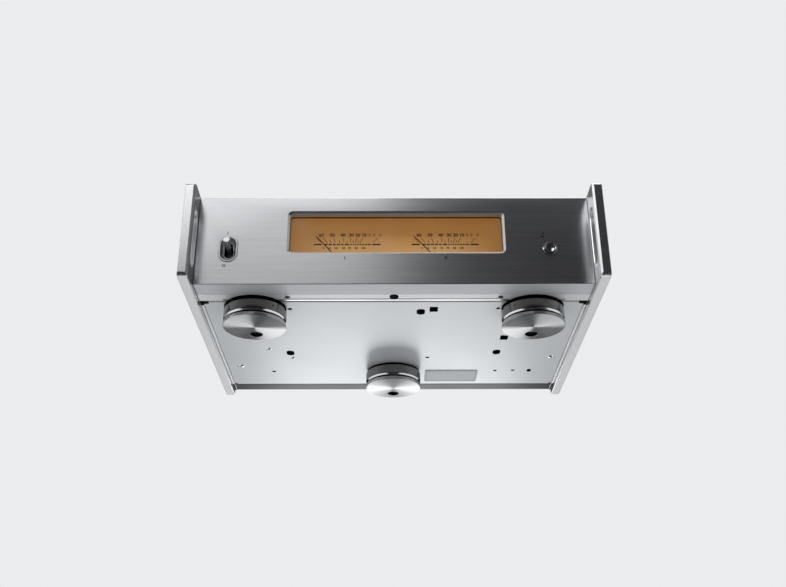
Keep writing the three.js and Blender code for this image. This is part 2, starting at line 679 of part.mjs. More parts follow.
// Oval bezel, bat lever and the switch that it works
function buildPowerSwitch() {
  const power = assembly(switchX, faceY, underZ + switchRise);
  const rim = oval(SWITCH_WIDTH, SWITCH_HEIGHT);
  const dish = rounded(
    SWITCH_WIDTH - 2 * SWITCH_RIM,
    SWITCH_HEIGHT - 2 * SWITCH_RIM,
    SWITCH_WIDTH / 2 - SWITCH_RIM,
  );
  const slot = oval(SWITCH_SLOT_W, SWITCH_SLOT_H);
  const bezel = cut(
    prism(rim, 'y', -SWITCH_PROUD, PANEL_WALL),
    taper(dish, slot, -SWITCH_PROUD, SWITCH_DISH),
    prism(slot, 'y', -CUT, PANEL_WALL + CUT),
  );
  add(power, 'switch_bezel', bezel, 'polished');

  const ballDrop = Math.SQRT1_2 * LEVER_BALL_R;
  const neckStart = Math.sqrt(LEVER_BALL_R ** 2 - LEVER_NECK_R ** 2);
  const bat = turned([
    [0, -LEVER_LENGTH],
    [LEVER_TIP_R - LEVER_EDGE, -LEVER_LENGTH],
    [LEVER_TIP_R, -LEVER_LENGTH + LEVER_EDGE],
    [LEVER_NECK_R, -LEVER_LENGTH + LEVER_FLARE],
    [LEVER_NECK_R, -neckStart],
    [LEVER_BALL_R, 0],
    [ballDrop, ballDrop],
    [0, LEVER_BALL_R],
  ], 'y', SMALL_SIDES);
  const lever = add(power, 'power_lever', bat, 'polished');
  lever.position.y = LEVER_PIVOT_SETBACK;
  lever.rotation.x = -LEVER_TILT;

  const bodyY = PANEL_WALL + FIT;
  const cavity = LEVER_BALL_R + FIT;
  const cavityZ = cavity * (1 + Math.sin(LEVER_TILT));
  const terminals = [-1, 1].map((side) => block(
    around(0, SWITCH_TERMINAL_W),
    [bodyY + SWITCH_BODY_D - SHEET, bodyY + SWITCH_BODY_D + SWITCH_TERMINAL_L],
    around(side * SWITCH_BODY_H / 4, SWITCH_TERMINAL_W),
  ));
  const body = cut(
    join(
      block(around(0, SWITCH_BODY_W), [bodyY, bodyY + SWITCH_BODY_D], around(0, SWITCH_BODY_H)),
      ...terminals,
    ),
    block([-cavity, cavity], [bodyY - CUT, LEVER_PIVOT_SETBACK + cavityZ], [-cavityZ, cavityZ]),
  );
  add(power, 'power_switch', body, 'blackPlastic');
}

// Round push button in its ring; its stem stops short of the key by the travel
function buildMeterButton(plungerTip) {
  const button = assembly(buttonX, faceY, underZ + buttonRise);
  const innerR = BUTTON_RING_R - BUTTON_RING_WALL;
  const ring = turned([
    [innerR, -BUTTON_RING_PROUD],
    [BUTTON_RING_R, -BUTTON_RING_PROUD],
    [BUTTON_RING_R, PANEL_WALL],
    [innerR, PANEL_WALL],
  ], 'y');
  add(button, 'button_ring', ring, 'polished');
  const face = BUTTON_RECESS - BUTTON_RING_PROUD;
  const flangeY = PANEL_WALL + FIT;
  const stemEnd = plungerTip - FIT - BUTTON_TRAVEL;
  const cap = turned([
    [0, face + BUTTON_DISH],
    [BUTTON_R - BUTTON_LIP, face],
    [BUTTON_R, face],
    [BUTTON_R, flangeY],
    [BUTTON_FLANGE_R, flangeY],
    [BUTTON_FLANGE_R, flangeY + BUTTON_FLANGE_T],
    [BUTTON_STEM_R, flangeY + BUTTON_FLANGE_T],
    [BUTTON_STEM_R, stemEnd],
    [0, stemEnd],
  ], 'y');
  add(button, 'meter_button', cap, 'polished');
}

// Inner steel chassis: front wall with its flange, and a rail along each side
function buildChassis() {
  const casing = assembly();
  const flangeY = faceY + PANEL_RETURN + FIT;
  const wallY1 = chassisWallY + SHEET;
  const flangeMiddle = (flangeY + chassisWallY) / 2;
  const screwHole = (x) => rod(CHASSIS_FLANGE_HOLE_R, underZ - CUT, underZ + SHEET + CUT, 'z')
    .translate(x, flangeMiddle, 0);
  const front = cut(
    join(
      block([-panelX, panelX], [flangeY, wallY1], [underZ, underZ + SHEET]),
      block([-panelX, panelX], [chassisWallY, wallY1], [underZ, wallZ1]),
    ),
    screwHole(-CHASSIS_FLANGE_HOLE_SHARE * panelX),
    screwHole(CHASSIS_FLANGE_HOLE_SHARE * panelX),
    block(
      around(0, CHASSIS_TAB_HOLE),
      around(flangeMiddle, CHASSIS_TAB_HOLE),
      [underZ - CUT, plateTopZ + CUT],
    ),
    block(around(0, CHASSIS_CABLE_W), [chassisWallY - CUT, wallY1 + CUT],
      [wallZ1 - 2 * CHASSIS_CABLE_H, wallZ1 - CHASSIS_CABLE_H]),
  );
  add(casing, 'front_chassis', front, 'steel');

  const railY1 = rearY - SHEET - FIT;
  const flangeZ = plateTopZ + FIT;
  const inner = panelX - RAIL_WALL;
  const section = outline([
    [inner, underZ],
    [panelX, underZ],
    [panelX, wallZ1],
    [panelX - RAIL_FLANGE, wallZ1],
    [panelX - RAIL_FLANGE, wallZ1 - SHEET],
    [inner, wallZ1 - SHEET],
    [inner, flangeZ + SHEET],
    [panelX - RAIL_FLANGE, flangeZ + SHEET],
    [panelX - RAIL_FLANGE, flangeZ],
    [inner, flangeZ],
  ]);
  const rearRelief = block([0, inner], [plateY1, railY1 + CUT], [flangeZ - CUT, flangeZ + SHEET + CUT]);
  const rail = cut(prism(section, 'y', railY0, railY1), rearRelief);
  add(casing, 'side_rail_right', rail, 'steel');
  add(casing, 'side_rail_left', rail.mirror([1, 0, 0]), 'steel');
}

// Bottom plate with its punched holes
function buildBottomPlate() {
  const casing = assembly();
  const plan = outline([
    [-plateX + PLATE_NOTCH_X, plateY0],
    [plateX - PLATE_NOTCH_X, plateY0],
    [plateX - PLATE_NOTCH_X, plateY0 + PLATE_NOTCH_Y],
    [plateX, plateY0 + PLATE_NOTCH_Y],
    [plateX, plateY1 - PLATE_CUT_CORNER],
    [plateX - PLATE_CUT_CORNER, plateY1],
    [-plateX + PLATE_CUT_CORNER, plateY1],
    [-plateX, plateY1 - PLATE_CUT_CORNER],
    [-plateX, plateY0 + PLATE_NOTCH_Y],
    [-plateX + PLATE_NOTCH_X, plateY0 + PLATE_NOTCH_Y],
  ]);
  const place = ([x, y]) => [x * plateX, plateY0 + y * (plateY1 - plateY0)];
  const holes = [
    ...SMALL_HOLE_SHARES.map((share) => circle(PLATE_SMALL_R, ...place(share))),
    ...LARGE_HOLE_SHARES.map((share) => circle(PLATE_LARGE_R, ...place(share))),
    ...TAB_HOLE_SHARES.map((share) => {
      const [x, y] = place(share);
      return outline([[-1, -1], [1, -1], [1, 1], [-1, 1]].map(([i, j]) => (
        [x + i * PLATE_TAB_LONG / 2, y + j * PLATE_TAB_SHORT / 2])));
    }),
    ...PEG_HOLE_SHARES.map((share) => {
      const [x, y] = place(share);
      return outline([[-1, -1], [1, -1], [1, 1], [-1, 1]].map(([i, j]) => (
        [x + i * PLATE_PEG / 2, y + j * PLATE_PEG / 2])));
    }),
  ];
  add(casing, 'bottom_plate', prism(plan, 'z', underZ, plateTopZ, holes), 'satinSilver');
}

// Rear panel with a hole for each connector
function buildRearPanel(places) {
  const casing = assembly();
  const z0 = underZ + REAR_LIFT;
  const sheet = join(
    block([-panelX, panelX], [rearY - SHEET, rearY], [z0, wallZ1]),
    block([-plateX, plateX], [rearFlangeY, rearY], [z0, z0 + SHEET]),
  );
  const holes = [
    ...places.posts.map((x) => circle(POST_STUD_R + FIT, x, underZ + postRise)),
    ...places.xlr.map((x) => circle(XLR_BODY_R + FIT, x, underZ + xlrRise, ROUND_SIDES)),
    ...places.xlr.map((x) => rounded(
      LATCH_W + 2 * FIT, LATCH_H + 2 * FIT, FIT, x, underZ + xlrRise + LATCH_RISE, 1)),
    ...places.xlr.map((x) => circle(PHONO_BODY_R + FIT, x, underZ + phonoRise, ROUND_SIDES)),
    rounded(INLET_BODY_W + 2 * FIT, INLET_BODY_H + 2 * FIT, FIT, inletX, underZ + inletRise, 1),
    circle(JACK_BARREL_R + FIT, jackX, underZ + modeSwitchRise),
    ...places.slides.map(({ x, rise, travel }) => (
      rounded(SLIDER_L + travel + 2 * FIT, SLIDE_WINDOW_H, FIT, x, underZ + rise, 1))),
  ];
  const panel = cut(sheet, ...holes.map((hole) => prism(hole, 'y', rearY - SHEET - CUT, rearY + CUT)));
  add(casing, 'rear_panel', panel, 'darkSteel');
}

// Top cover with two rows of vent slots
function buildTopCover() {
  const casing = assembly();
  const y0 = faceY + PANEL_RETURN + FIT;
  const ventY = y0 + VENT_Y_SHARE * (rearY - y0);
  const vents = [-1, 1].flatMap((side) => Array.from({ length: VENT_COUNT }, (_, i) => {
    const x = side * VENT_X_SHARE * panelX + (i - (VENT_COUNT - 1) / 2) * VENT_PITCH;
    return rounded(VENT_WIDTH, VENT_LENGTH, VENT_WIDTH / 2, x, ventY, VENT_STEPS);
  }));
  const plan = outline([[-panelX, y0], [panelX, y0], [panelX, rearY], [-panelX, rearY]]);
  add(casing, 'top_cover', prism(plan, 'z', coverZ0, panelZ1, vents), 'satinSilver');
}

// One foot: a collar with a point, and a disc that hangs on a screw below it
function buildFoot(name, x, share) {
  const foot = assembly(x, plateY0 + share * (plateY1 - plateY0), 0);
  const bevelZ = DISC_H + FOOT_SLIT;
  const collarZ = bevelZ + FOOT_BEVEL;
  const neckZ = collarZ + FOOT_COLLAR_H;
  const hollowR = FOOT_R - FOOT_BEVEL - FOOT_SKIRT;
  const hollowZ = bevelZ + FOOT_HOLLOW_H;
  const bossZ = DISC_H + DISC_BOSS_H;
  const tipZ = bossZ - POINT_DEPTH;
  const webZ = bossZ - DISC_WEB;
  const screwTop = hollowZ + SCREW_THREAD_L;
  const collar = cut(
    turned([
      [0, tipZ],
      [POINT_TIP_R, tipZ],
      [POINT_ROOT_R, hollowZ],
      [hollowR, hollowZ],
      [hollowR, bevelZ],
      [FOOT_R - FOOT_BEVEL, bevelZ],
      [FOOT_R, collarZ],
      [FOOT_R, neckZ],
      [FOOT_NECK_R, neckZ],
      [FOOT_NECK_R, underZ - FIT],
      [0, underZ - FIT],
    ], 'z', FOOT_SIDES),
    rod(SCREW_SHANK_R + FIT, hollowZ - CUT, screwTop + FIT, 'z').translate(0, ACCESS_OFFSET, 0),
  );
  const disc = cut(
    turned([
      [0, 0],
      [FOOT_R - FOOT_EDGE, 0],
      [FOOT_R, FOOT_EDGE],
      [FOOT_R, DISC_H],
      [DISC_BOSS_R, DISC_H],
      [DISC_BOSS_R, bossZ],
      [DIMPLE_R, bossZ],
      [POINT_TIP_R + FIT / 2, tipZ - FIT],
      [0, tipZ - FIT],
    ], 'z', FOOT_SIDES),
    rod(ACCESS_R, -CUT, webZ, 'z').translate(0, ACCESS_OFFSET, 0),
    rod(SCREW_SHANK_R + FIT, 0, bossZ + CUT, 'z').translate(0, ACCESS_OFFSET, 0),
  );
  const headZ = webZ - SCREW_PLAY;
  const screw = join(
    rod(SCREW_HEAD_R, headZ - SCREW_HEAD_H, headZ, 'z'),
    rod(SCREW_SHANK_R, headZ - SCREW_HEAD_H, screwTop, 'z'),
  ).translate(0, ACCESS_OFFSET, 0);
  add(foot, `foot_collar_${name}`, collar, 'polished');
  add(foot, `foot_disc_${name}`, disc, 'polished');
  add(foot, `foot_screw_${name}`, screw, 'darkSteel');
}

// One speaker post: fixed base and stud, clamp sleeve, and knob
function buildPost(name, x, finish) {
  const post = assembly(x, rearY, underZ + postRise);
  const baseEnd = FIT + POST_FLANGE_T;
  const clampY = baseEnd + FIT;
  const knobY = clampY + CLAMP_L + FIT;
  const studEnd = knobY + KNOB_L - KNOB_CAP - FIT;
  const base = cut(
    join(
      rod(POST_FLANGE_R, FIT, baseEnd, 'y', ROUND_SIDES),
      rod(POST_STUD_R, -POST_STUD_INSIDE, studEnd, 'y'),
    ),
    rod(POST_BORE_R, clampY, studEnd + CUT, 'y'),
  );
  const innerR = POST_STUD_R + FIT;
  const sleeve = turned([
    [innerR, clampY], [CLAMP_R, clampY], [CLAMP_R, clampY + CLAMP_L], [innerR, clampY + CLAMP_L],
  ], 'y', SMALL_SIDES);
  const grip = Array.from({ length: 2 * KNOB_FLUTES }, (_, i) => {
    const angle = (i / KNOB_FLUTES) * Math.PI;
    const radius = i % 2 === 0 ? KNOB_R : KNOB_R - KNOB_FLUTE_DEPTH;
    return new THREE.Vector2(radius * Math.cos(angle), radius * Math.sin(angle));
  });
  const knob = cut(
    prism(grip, 'y', knobY, knobY + KNOB_L),
    rod(innerR, knobY - CUT, knobY + KNOB_L - KNOB_CAP, 'y'),
    rod(KNOB_MOUTH_R, knobY, knobY + KNOB_L + CUT, 'y'),
  );
  add(post, `post_base_${name}`, base, 'gold');
  add(post, `post_clamp_${name}`, sleeve, 'gold');
  add(post, `post_knob_${name}`, knob, finish);
}

// Mains inlet with three blades inside its mouth
function buildInlet() {
  const inlet = assembly(inletX, rearY, underZ + inletRise);
  const face = FIT + INLET_FLANGE_T;
  const [w, h] = [INLET_MOUTH_W / 2, INLET_MOUTH_H / 2];
  const mouth = outline([
    [-w, -h], [w, -h], [w, h - INLET_MOUTH_CUT], [w - INLET_MOUTH_CUT, h],
    [-w + INLET_MOUTH_CUT, h], [-w, h - INLET_MOUTH_CUT],
  ]);
  const shell = cut(
    join(
      prism(rounded(INLET_FLANGE_W, INLET_FLANGE_H, INLET_CORNER_R), 'y', FIT, face),
      block(around(0, INLET_BODY_W), [face - INLET_BODY_D, face], around(0, INLET_BODY_H)),
    ),
    prism(mouth, 'y', face - INLET_MOUTH_D, face + CUT),
  );
  const blades = [-1, 0, 1].map((i) => block(
    around(i * INLET_PIN_PITCH, INLET_PIN_W),
    [face - INLET_BODY_D + FIT, face - INLET_PIN_SHORT],
    around(i === 0 ? INLET_PIN_STEP : 0, INLET_PIN_H),
  ));
  add(inlet, 'mains_inlet', join(shell, ...blades), 'blackPlastic');
}

// Balanced input socket with its release tab
function buildBalancedInput(name, x) {
  const socket = assembly(x, rearY, underZ + xlrRise);
  const face = FIT + XLR_FLANGE_T;
  const grooveY = face - XLR_GROOVE_D;
  const groove = turned([
    [XLR_GROOVE_IN_R, grooveY], [XLR_GROOVE_OUT_R, grooveY],
    [XLR_GROOVE_OUT_R, face + CUT], [XLR_GROOVE_IN_R, face + CUT],
  ], 'y', ROUND_SIDES);
  const contacts = XLR_HOLE_ANGLES.map((degrees) => {
    const angle = THREE.MathUtils.degToRad(degrees);
    return rod(XLR_HOLE_R, face - XLR_HOLE_D, face + CUT, 'y', SMALL_SIDES / 2)
      .translate(XLR_HOLE_CIRCLE_R * Math.cos(angle), 0, XLR_HOLE_CIRCLE_R * Math.sin(angle));
  });
  const pocketDepth = LATCH_L - LATCH_PROUD + LATCH_TRAVEL + FIT;
  const pocket = block(
    around(0, LATCH_W + 2 * FIT),
    [face - pocketDepth, face + CUT],
    around(LATCH_RISE, LATCH_H + 2 * FIT),
  );
  const body = cut(
    join(
      prism(rounded(XLR_FLANGE_W, XLR_FLANGE_H, XLR_FLANGE_R), 'y', FIT, face),
      rod(XLR_BODY_R, -XLR_BODY_D, face, 'y', ROUND_SIDES),
    ),
    groove,
    ...contacts,
  );
  const tab = block(around(0, LATCH_W), [face + LATCH_PROUD - LATCH_L, face + LATCH_PROUD],
    around(LATCH_RISE, LATCH_H));
  add(socket, `balanced_socket_${name}`, cut(body, pocket), 'blackPlastic');
  add(socket, `release_tab_${name}`, tab, 'steel');
}

function buildPhonoInput(name, x) {
  const socket = assembly(x, rearY, underZ + phonoRise);
  const flangeEnd = FIT + PHONO_FLANGE_T;
  const barrelEnd = flangeEnd + PHONO_BARREL_L;
  const body = turned([
    [0, -PHONO_BODY_L],
    [PHONO_BODY_R, -PHONO_BODY_L],
    [PHONO_BODY_R, FIT],
    [PHONO_FLANGE_R, FIT],
    [PHONO_FLANGE_R, flangeEnd],
    [PHONO_BARREL_R, flangeEnd],
    [PHONO_BARREL_R, barrelEnd],
    [PHONO_BORE_R, barrelEnd],
    [PHONO_BORE_R, barrelEnd - PHONO_BORE_D],
    [0, barrelEnd - PHONO_BORE_D],
  ], 'y', ROUND_SIDES);
  add(socket, `phono_socket_${name}`, body, 'gold');
}

// Slide switch: the body sits behind the rear panel, the slider reaches through it
function buildSlideSwitch(name, { x, rise, travel }) {
  const place = assembly(x, rearY, underZ + rise);
  const front = -SHEET - FIT;
  const length = SLIDE_BODY_L + travel - INPUT_TRAVEL;
  const pocket = block(
    around(0, SLIDER_L + travel + 2 * FIT),
    [front - SLIDE_POCKET_D, front + CUT],
    around(0, SLIDE_WINDOW_H),
  );
  const body = cut(
    block(around(0, length), [front - SLIDE_BODY_D, front], around(0, SLIDE_BODY_H)),
    pocket,
  );
  const slider = block([0, SLIDER_L], [front - SLIDE_POCKET_D + FIT, SLIDER_REACH], around(0, SLIDER_H));
  add(place, `${name}_switch`, body, 'steel');
  add(place, `${name}_slider`, slider, 'blackPlastic').position.x = -(SLIDER_L + travel) / 2;
}

function buildTriggerJack() {
  const jack = assembly(jackX, rearY, underZ + modeSwitchRise);
  const nutEnd = FIT + JACK_NUT_T;
  const barrelEnd = FIT + JACK_BARREL_L;
  const inside = -SHEET - FIT;
  const body = cut(
    join(
      rod(JACK_NUT_R, FIT, nutEnd, 'y', 6),
      rod(JACK_BARREL_R, inside - SHEET, barrelEnd, 'y'),
      block(around(0, JACK_BODY_SIZE), [inside - JACK_BODY_D, inside], around(0, JACK_BODY_SIZE)),
    ),
    rod(JACK_BORE_R, barrelEnd - JACK_BORE_D, barrelEnd + CUT, 'y'),
  );
  add(jack, 'trigger_jack', body, 'steel');
}

// Board on four spacers that stand on the bottom plate; parts are joined onto it
function board(width, length, parts) {
  const z = STANDOFF;
  const spacers = [-1, 1].flatMap((i) => [-1, 1].map((j) => rod(SPACER_R, 0, z + BOARD_T / 2, 'z')
    .translate(i * (width / 2 - SPACER_EDGE), j * (length / 2 - SPACER_EDGE), 0)));
  const sheet = block(around(0, width), around(0, length), [z, z + BOARD_T]);
  return join(sheet, ...spacers, ...parts);
}

// Toroidal transformer, power supply, two amplifier modules and the line input board
function buildInside() {
  const floor = plateTopZ + FIT;
  const deck = STANDOFF + BOARD_T;
  const seat = STANDOFF + BOARD_T / 2;
  const flangeX = panelX - RAIL_FLANGE;
  const spacerInset = SPACER_EDGE - SPACER_R;
  const across = [-flangeX, flangeX];
  const along = [chassisWallY + SHEET, rearY - SHEET];
  const [coreX, ...moduleX] = spread(across, [2 * CORE_R, MODULE_W, MODULE_W], MODULE_ROW_SHARES);
  const boardWidths = [SUPPLY_W, LINE_W].map((width) => width - 2 * spacerInset);
  const [supplyX, lineX] = spread(across, boardWidths, BOARD_ROW_SHARES);
  const [coreY, supplyY] = spread(along, [2 * CORE_R, SUPPLY_D], POWER_COLUMN_SHARES);
  const [moduleY, lineY] = spread(along, [MODULE_D, LINE_D], SIGNAL_COLUMN_SHARES);

  const core = assembly(coreX, coreY, floor);
  const top = CORE_HEIGHT;
  const winding = turned([
    [CORE_BORE_R, CORE_ROUND],
    [CORE_BORE_R + CORE_ROUND, 0],
    [CORE_R - CORE_ROUND, 0],
    [CORE_R, CORE_ROUND],
    [CORE_R, top - CORE_ROUND],
    [CORE_R - CORE_ROUND, top],
    [CORE_BORE_R + CORE_ROUND, top],
    [CORE_BORE_R, top - CORE_ROUND],
  ], 'z');
  const plateZ = top + FIT;
  const clamp = join(
    rod(CORE_PLATE_R, plateZ, plateZ + CORE_PLATE_T, 'z', ROUND_SIDES),
    rod(CORE_BOLT_R, 0, plateZ + CORE_PLATE_T, 'z'),
    rod(CORE_BOLT_HEAD_R, plateZ, plateZ + CORE_PLATE_T + CORE_BOLT_HEAD_H, 'z', 6),
  );
  add(core, 'transformer', winding, 'copper');
  add(core, 'transformer_clamp', clamp, 'steel');

  const supply = assembly(supplyX, supplyY, floor);
  const capacitors = Array.from({ length: SUPPLY_CAP_COUNT }, (_, i) => {
    const x = (i - (SUPPLY_CAP_COUNT - 1) / 2) * (SUPPLY_W / SUPPLY_CAP_COUNT);
    const y = -SUPPLY_D / 2 + SUPPLY_CAP_R + SPACER_R;
    return rod(SUPPLY_CAP_R, seat, deck + SUPPLY_CAP_H, 'z').translate(x, y, 0);
  });
  add(supply, 'supply_board', board(SUPPLY_W, SUPPLY_D, capacitors), 'board');

  const sinkBase = block(around(0, SINK_W), around(0, SINK_D), [seat, deck + SINK_BASE]);
  const fins = Array.from({ length: SINK_FIN_COUNT }, (_, i) => {
    const x = (i - (SINK_FIN_COUNT - 1) / 2) * ((SINK_W - SINK_FIN_T) / (SINK_FIN_COUNT - 1));
    return block(around(x, SINK_FIN_T), around(0, SINK_D), [deck, deck + SINK_BASE + SINK_FIN_H]);
  });
  ['left', 'right'].forEach((side, i) => {
    const module = assembly(moduleX[i], moduleY, floor);
    add(module, `amplifier_module_${side}`, board(MODULE_W, MODULE_D, [sinkBase, ...fins]), 'steel');
  });

  const line = assembly(lineX, lineY, floor);
  const relays = Array.from({ length: RELAY_COUNT }, (_, i) => {
    const x = (i - (RELAY_COUNT - 1) / 2) * (LINE_W / RELAY_COUNT);
    return block(around(x, RELAY_W), around(-LINE_D / 4, RELAY_W), [seat, deck + RELAY_H]);
  });
  add(line, 'line_board', board(LINE_W, LINE_D, relays), 'board');
}

const postX = [-1, 1].flatMap((pair) => [-1, 1].map((side) => (
  postsX + (pair * POST_PAIR_PITCH) / 2 + (side * POST_PITCH) / 2)));
const xlrX = [xlrLeftX, xlrRightX];
const slides = [
  { x: inputSwitchX, rise: xlrRise, travel: INPUT_TRAVEL },
  { x: modeSwitchX, rise: modeSwitchRise, travel: MODE_TRAVEL },
];
const SIDES = ['left', 'right'];

buildSidePlates();
buildFrontPanel();
buildMeters();
buildMeterButton(buildFrontBoard());
buildPowerSwitch();
buildChassis();
buildBottomPlate();
buildRearPanel({ posts: postX, xlr: xlrX, slides });
buildTopCover();
buildFoot('front_left', -FOOT_X_SHARE * panelX, FOOT_FRONT_SHARE);
buildFoot('front_right', FOOT_X_SHARE * panelX, FOOT_FRONT_SHARE);
buildFoot('rear', 0, FOOT_REAR_SHARE);
SIDES.forEach((side, i) => {
  buildPost(`${side}_minus`, postX[2 * i], 'blackPlastic');
  buildPost(`${side}_plus`, postX[2 * i + 1], 'redPlastic');
  buildBalancedInput(side, xlrX[i]);
  buildPhonoInput(side, xlrX[i]);
});
buildInlet();
buildSlideSwitch('input', slides[0]);
buildSlideSwitch('mode', slides[1]);
buildTriggerJack();
buildInside();

export default amplifier;
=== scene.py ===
"""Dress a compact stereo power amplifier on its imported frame.

The frame brings the solids and the joints. This script gives each node its finish, replaces the
nodes that need finer shapes, adds the small fittings, and sets up the camera and the studio.
"""

import json
import logging
import math
from collections.abc import Sequence
from dataclasses import dataclass, replace
from enum import Enum

import bmesh
import bpy
from mathutils import Matrix, Vector


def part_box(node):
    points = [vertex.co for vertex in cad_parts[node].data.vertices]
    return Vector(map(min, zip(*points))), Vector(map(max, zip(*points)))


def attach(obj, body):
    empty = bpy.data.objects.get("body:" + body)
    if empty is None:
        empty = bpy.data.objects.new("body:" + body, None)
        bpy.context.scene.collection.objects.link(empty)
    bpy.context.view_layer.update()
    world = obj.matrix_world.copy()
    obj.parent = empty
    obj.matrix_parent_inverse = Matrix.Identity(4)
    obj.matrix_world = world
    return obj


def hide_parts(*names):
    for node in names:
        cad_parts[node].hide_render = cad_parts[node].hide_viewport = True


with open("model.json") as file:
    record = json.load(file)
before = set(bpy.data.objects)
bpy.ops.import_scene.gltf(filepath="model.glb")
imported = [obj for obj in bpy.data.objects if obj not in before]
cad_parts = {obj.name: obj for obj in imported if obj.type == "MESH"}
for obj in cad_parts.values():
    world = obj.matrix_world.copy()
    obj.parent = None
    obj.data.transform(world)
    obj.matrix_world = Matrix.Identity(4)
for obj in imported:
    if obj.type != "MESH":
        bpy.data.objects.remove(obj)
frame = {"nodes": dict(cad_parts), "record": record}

log = logging.getLogger("amplifier")

MM = 0.001
ROOT = "chassis"
GRAIN_MAP = "grain"
MAP_SCALE = 10.0  # the grain map is in tenths of a metre
WELD = 0.001 * MM  # points nearer than this are one
LEAST_RADIUS = 0.01 * MM  # of an outline's corners when it shrinks
OVERRUN = 0.5 * MM  # how far a cutting shape starts outside a face
INK_DEPTH = 0.05 * MM
CAPITAL_HEIGHT = 0.7  # of the plain font, as a share of its size
STROKE_GAIN = 0.05  # how much wider its strokes are drawn
SIDES = ("left", "right")

Shape = bmesh.types.BMesh
Object = bpy.types.Object
Material = bpy.types.Material
Tree = bpy.types.NodeTree
Node = bpy.types.Node
Socket = bpy.types.NodeSocket
SocketList = bpy.types.bpy_prop_collection
Point = tuple[float, float]
Profile = Sequence[tuple[float, ...]]
Points = tuple[Point, ...]
Triple = tuple[float, float, float]
Colour = Triple
Place = Vector | Triple


# Outlines


class Plane(Enum):
    """The plane an outline is drawn in; levels run along the third axis."""

    SIDE = (1, 2, 0)
    ACROSS = (0, 2, 1)
    PLAN = (0, 1, 2)

    def place(self, u: float, v: float, level: float) -> Vector:
        """Give the part-frame point of an outline point.

        Args:
            u: The outline's first coordinate.
            v: The outline's second coordinate.
            level: The place along the plane's normal.

        Returns:
            The point in metres.
        """
        point = Vector((0.0, 0.0, 0.0))
        for axis, value in zip(self.value, (u, v, level)):
            point[axis] = value
        return point


def on_circle(centre: Point, radius: float, angle: float) -> Point:
    """Give a point on a circle, its angle in radians."""
    return (centre[0] + radius * math.cos(angle), centre[1] + radius * math.sin(angle))


def box_centre(plane: Plane, low: Vector, high: Vector) -> Point:
    """Give a box's centre in an outline's plane."""
    return tuple((low[axis] + high[axis]) / 2 for axis in plane.value[:2])


@dataclass(frozen=True)
class Oblong:
    """A rectangle with round corners; a full radius makes it an oval or a circle."""

    width: float
    height: float
    radius: float
    centre: Point = (0.0, 0.0)
    steps: int = 8
    high_radius: float | None = None  # radius of the corners at the high end of the first axis

    def points(self, grow: float = 0.0) -> list[Point]:
        """Draw the outline anticlockwise.

        Args:
            grow: How far every side moves outwards.

        Returns:
            The outline's points, always as many for one oblong.
        """
        points = []
        for corner, (side_u, side_v) in enumerate(((1, 1), (-1, 1), (-1, -1), (1, -1))):
            own = self.radius if side_u < 0 or self.high_radius is None else self.high_radius
            radius = max(own + grow, LEAST_RADIUS)
            reach_u = self.width / 2 + grow - radius
            reach_v = self.height / 2 + grow - radius
            for step in range(self.steps + 1):
                angle = (corner + step / self.steps) * math.pi / 2
                u = self.centre[0] + side_u * reach_u + radius * math.cos(angle)
                v = self.centre[1] + side_v * reach_v + radius * math.sin(angle)
                points.append((u, v))
        return points

    @classmethod
    def around(cls, plane: Plane, low: Vector, high: Vector, radius: float, steps: int = 8) -> "Oblong":
        """Draw round a box."""
        width, height = (high[axis] - low[axis] for axis in plane.value[:2])
        return cls(width, height, radius, box_centre(plane, low, high), steps)


@dataclass(frozen=True)
class Corners:
    """A straight-sided outline, its corners given anticlockwise."""

    corners: Points

    def points(self, grow: float = 0.0) -> list[Point]:
        """Draw the outline with mitred corners.

        Args:
            grow: How far every side moves outwards.

        Returns:
            The outline's corners.
        """
        points = []
        count = len(self.corners)
        for i, corner in enumerate(self.corners):
            here = Vector(corner)
            before = (here - Vector(self.corners[i - 1])).normalized()
            after = (Vector(self.corners[(i + 1) % count]) - here).normalized()
            out_before = Vector((before.y, -before.x))
            out_after = Vector((after.y, -after.x))
            mitre = (out_before + out_after) / max(1.0 + out_before.dot(out_after), 0.1)
            points.append(tuple(here + mitre * grow))
        return points


Outline = Oblong | Corners


def disc(radius: float, centre: Point = (0.0, 0.0), steps: int = 12) -> Oblong:
    """Give a circle."""
    return Oblong(2 * radius, 2 * radius, radius, centre, steps)


def box_outline(low: Point, high: Point) -> Corners:
    """Give a plain rectangle from its lowest and highest corner."""
    return Corners(((low[0], low[1]), (high[0], low[1]), (high[0], high[1]), (low[0], high[1])))


# Shapes


def tidy(shape: Shape) -> Shape:
    """Merge doubles and turn every face outwards.

    Args:
        shape: A closed shape.

    Returns:
        The same shape.
    """
    bmesh.ops.remove_doubles(shape, verts=shape.verts, dist=WELD)
    bmesh.ops.dissolve_degenerate(shape, edges=shape.edges, dist=WELD)
    bmesh.ops.recalc_face_normals(shape, faces=shape.faces)
    return shape


def bridge(shape: Shape, rings: Sequence[Sequence[Vector]]) -> Shape:
    """Join rings of points into a closed shape with a cap at each end.

    Args:
        shape: The shape that receives the faces.
        rings: Rings with the same number of points.

    Returns:
        The same shape.
    """
    made = [[shape.verts.new(point) for point in ring] for ring in rings]
    shape.faces.new(made[0])
    shape.faces.new(made[-1])
    for near, far in zip(made, made[1:]):
        for i, corner in enumerate(near):
            shape.faces.new((near[i - 1], corner, far[i], far[i - 1]))
    return tidy(shape)


def loft(plane: Plane, outline: Outline, stations: Sequence[Point]) -> Shape:
    """Sweep an outline through stations and close both ends."""
    rings = [[plane.place(u, v, level) for u, v in outline.points(grow)] for grow, level in stations]
    return bridge(bmesh.new(), rings)


def prism(plane: Plane, outline: Outline, low: float, high: float, grow: float = 0.0) -> Shape:
    """Make a straight piece between two levels."""
    return loft(plane, outline, [(grow, low), (grow, high)])


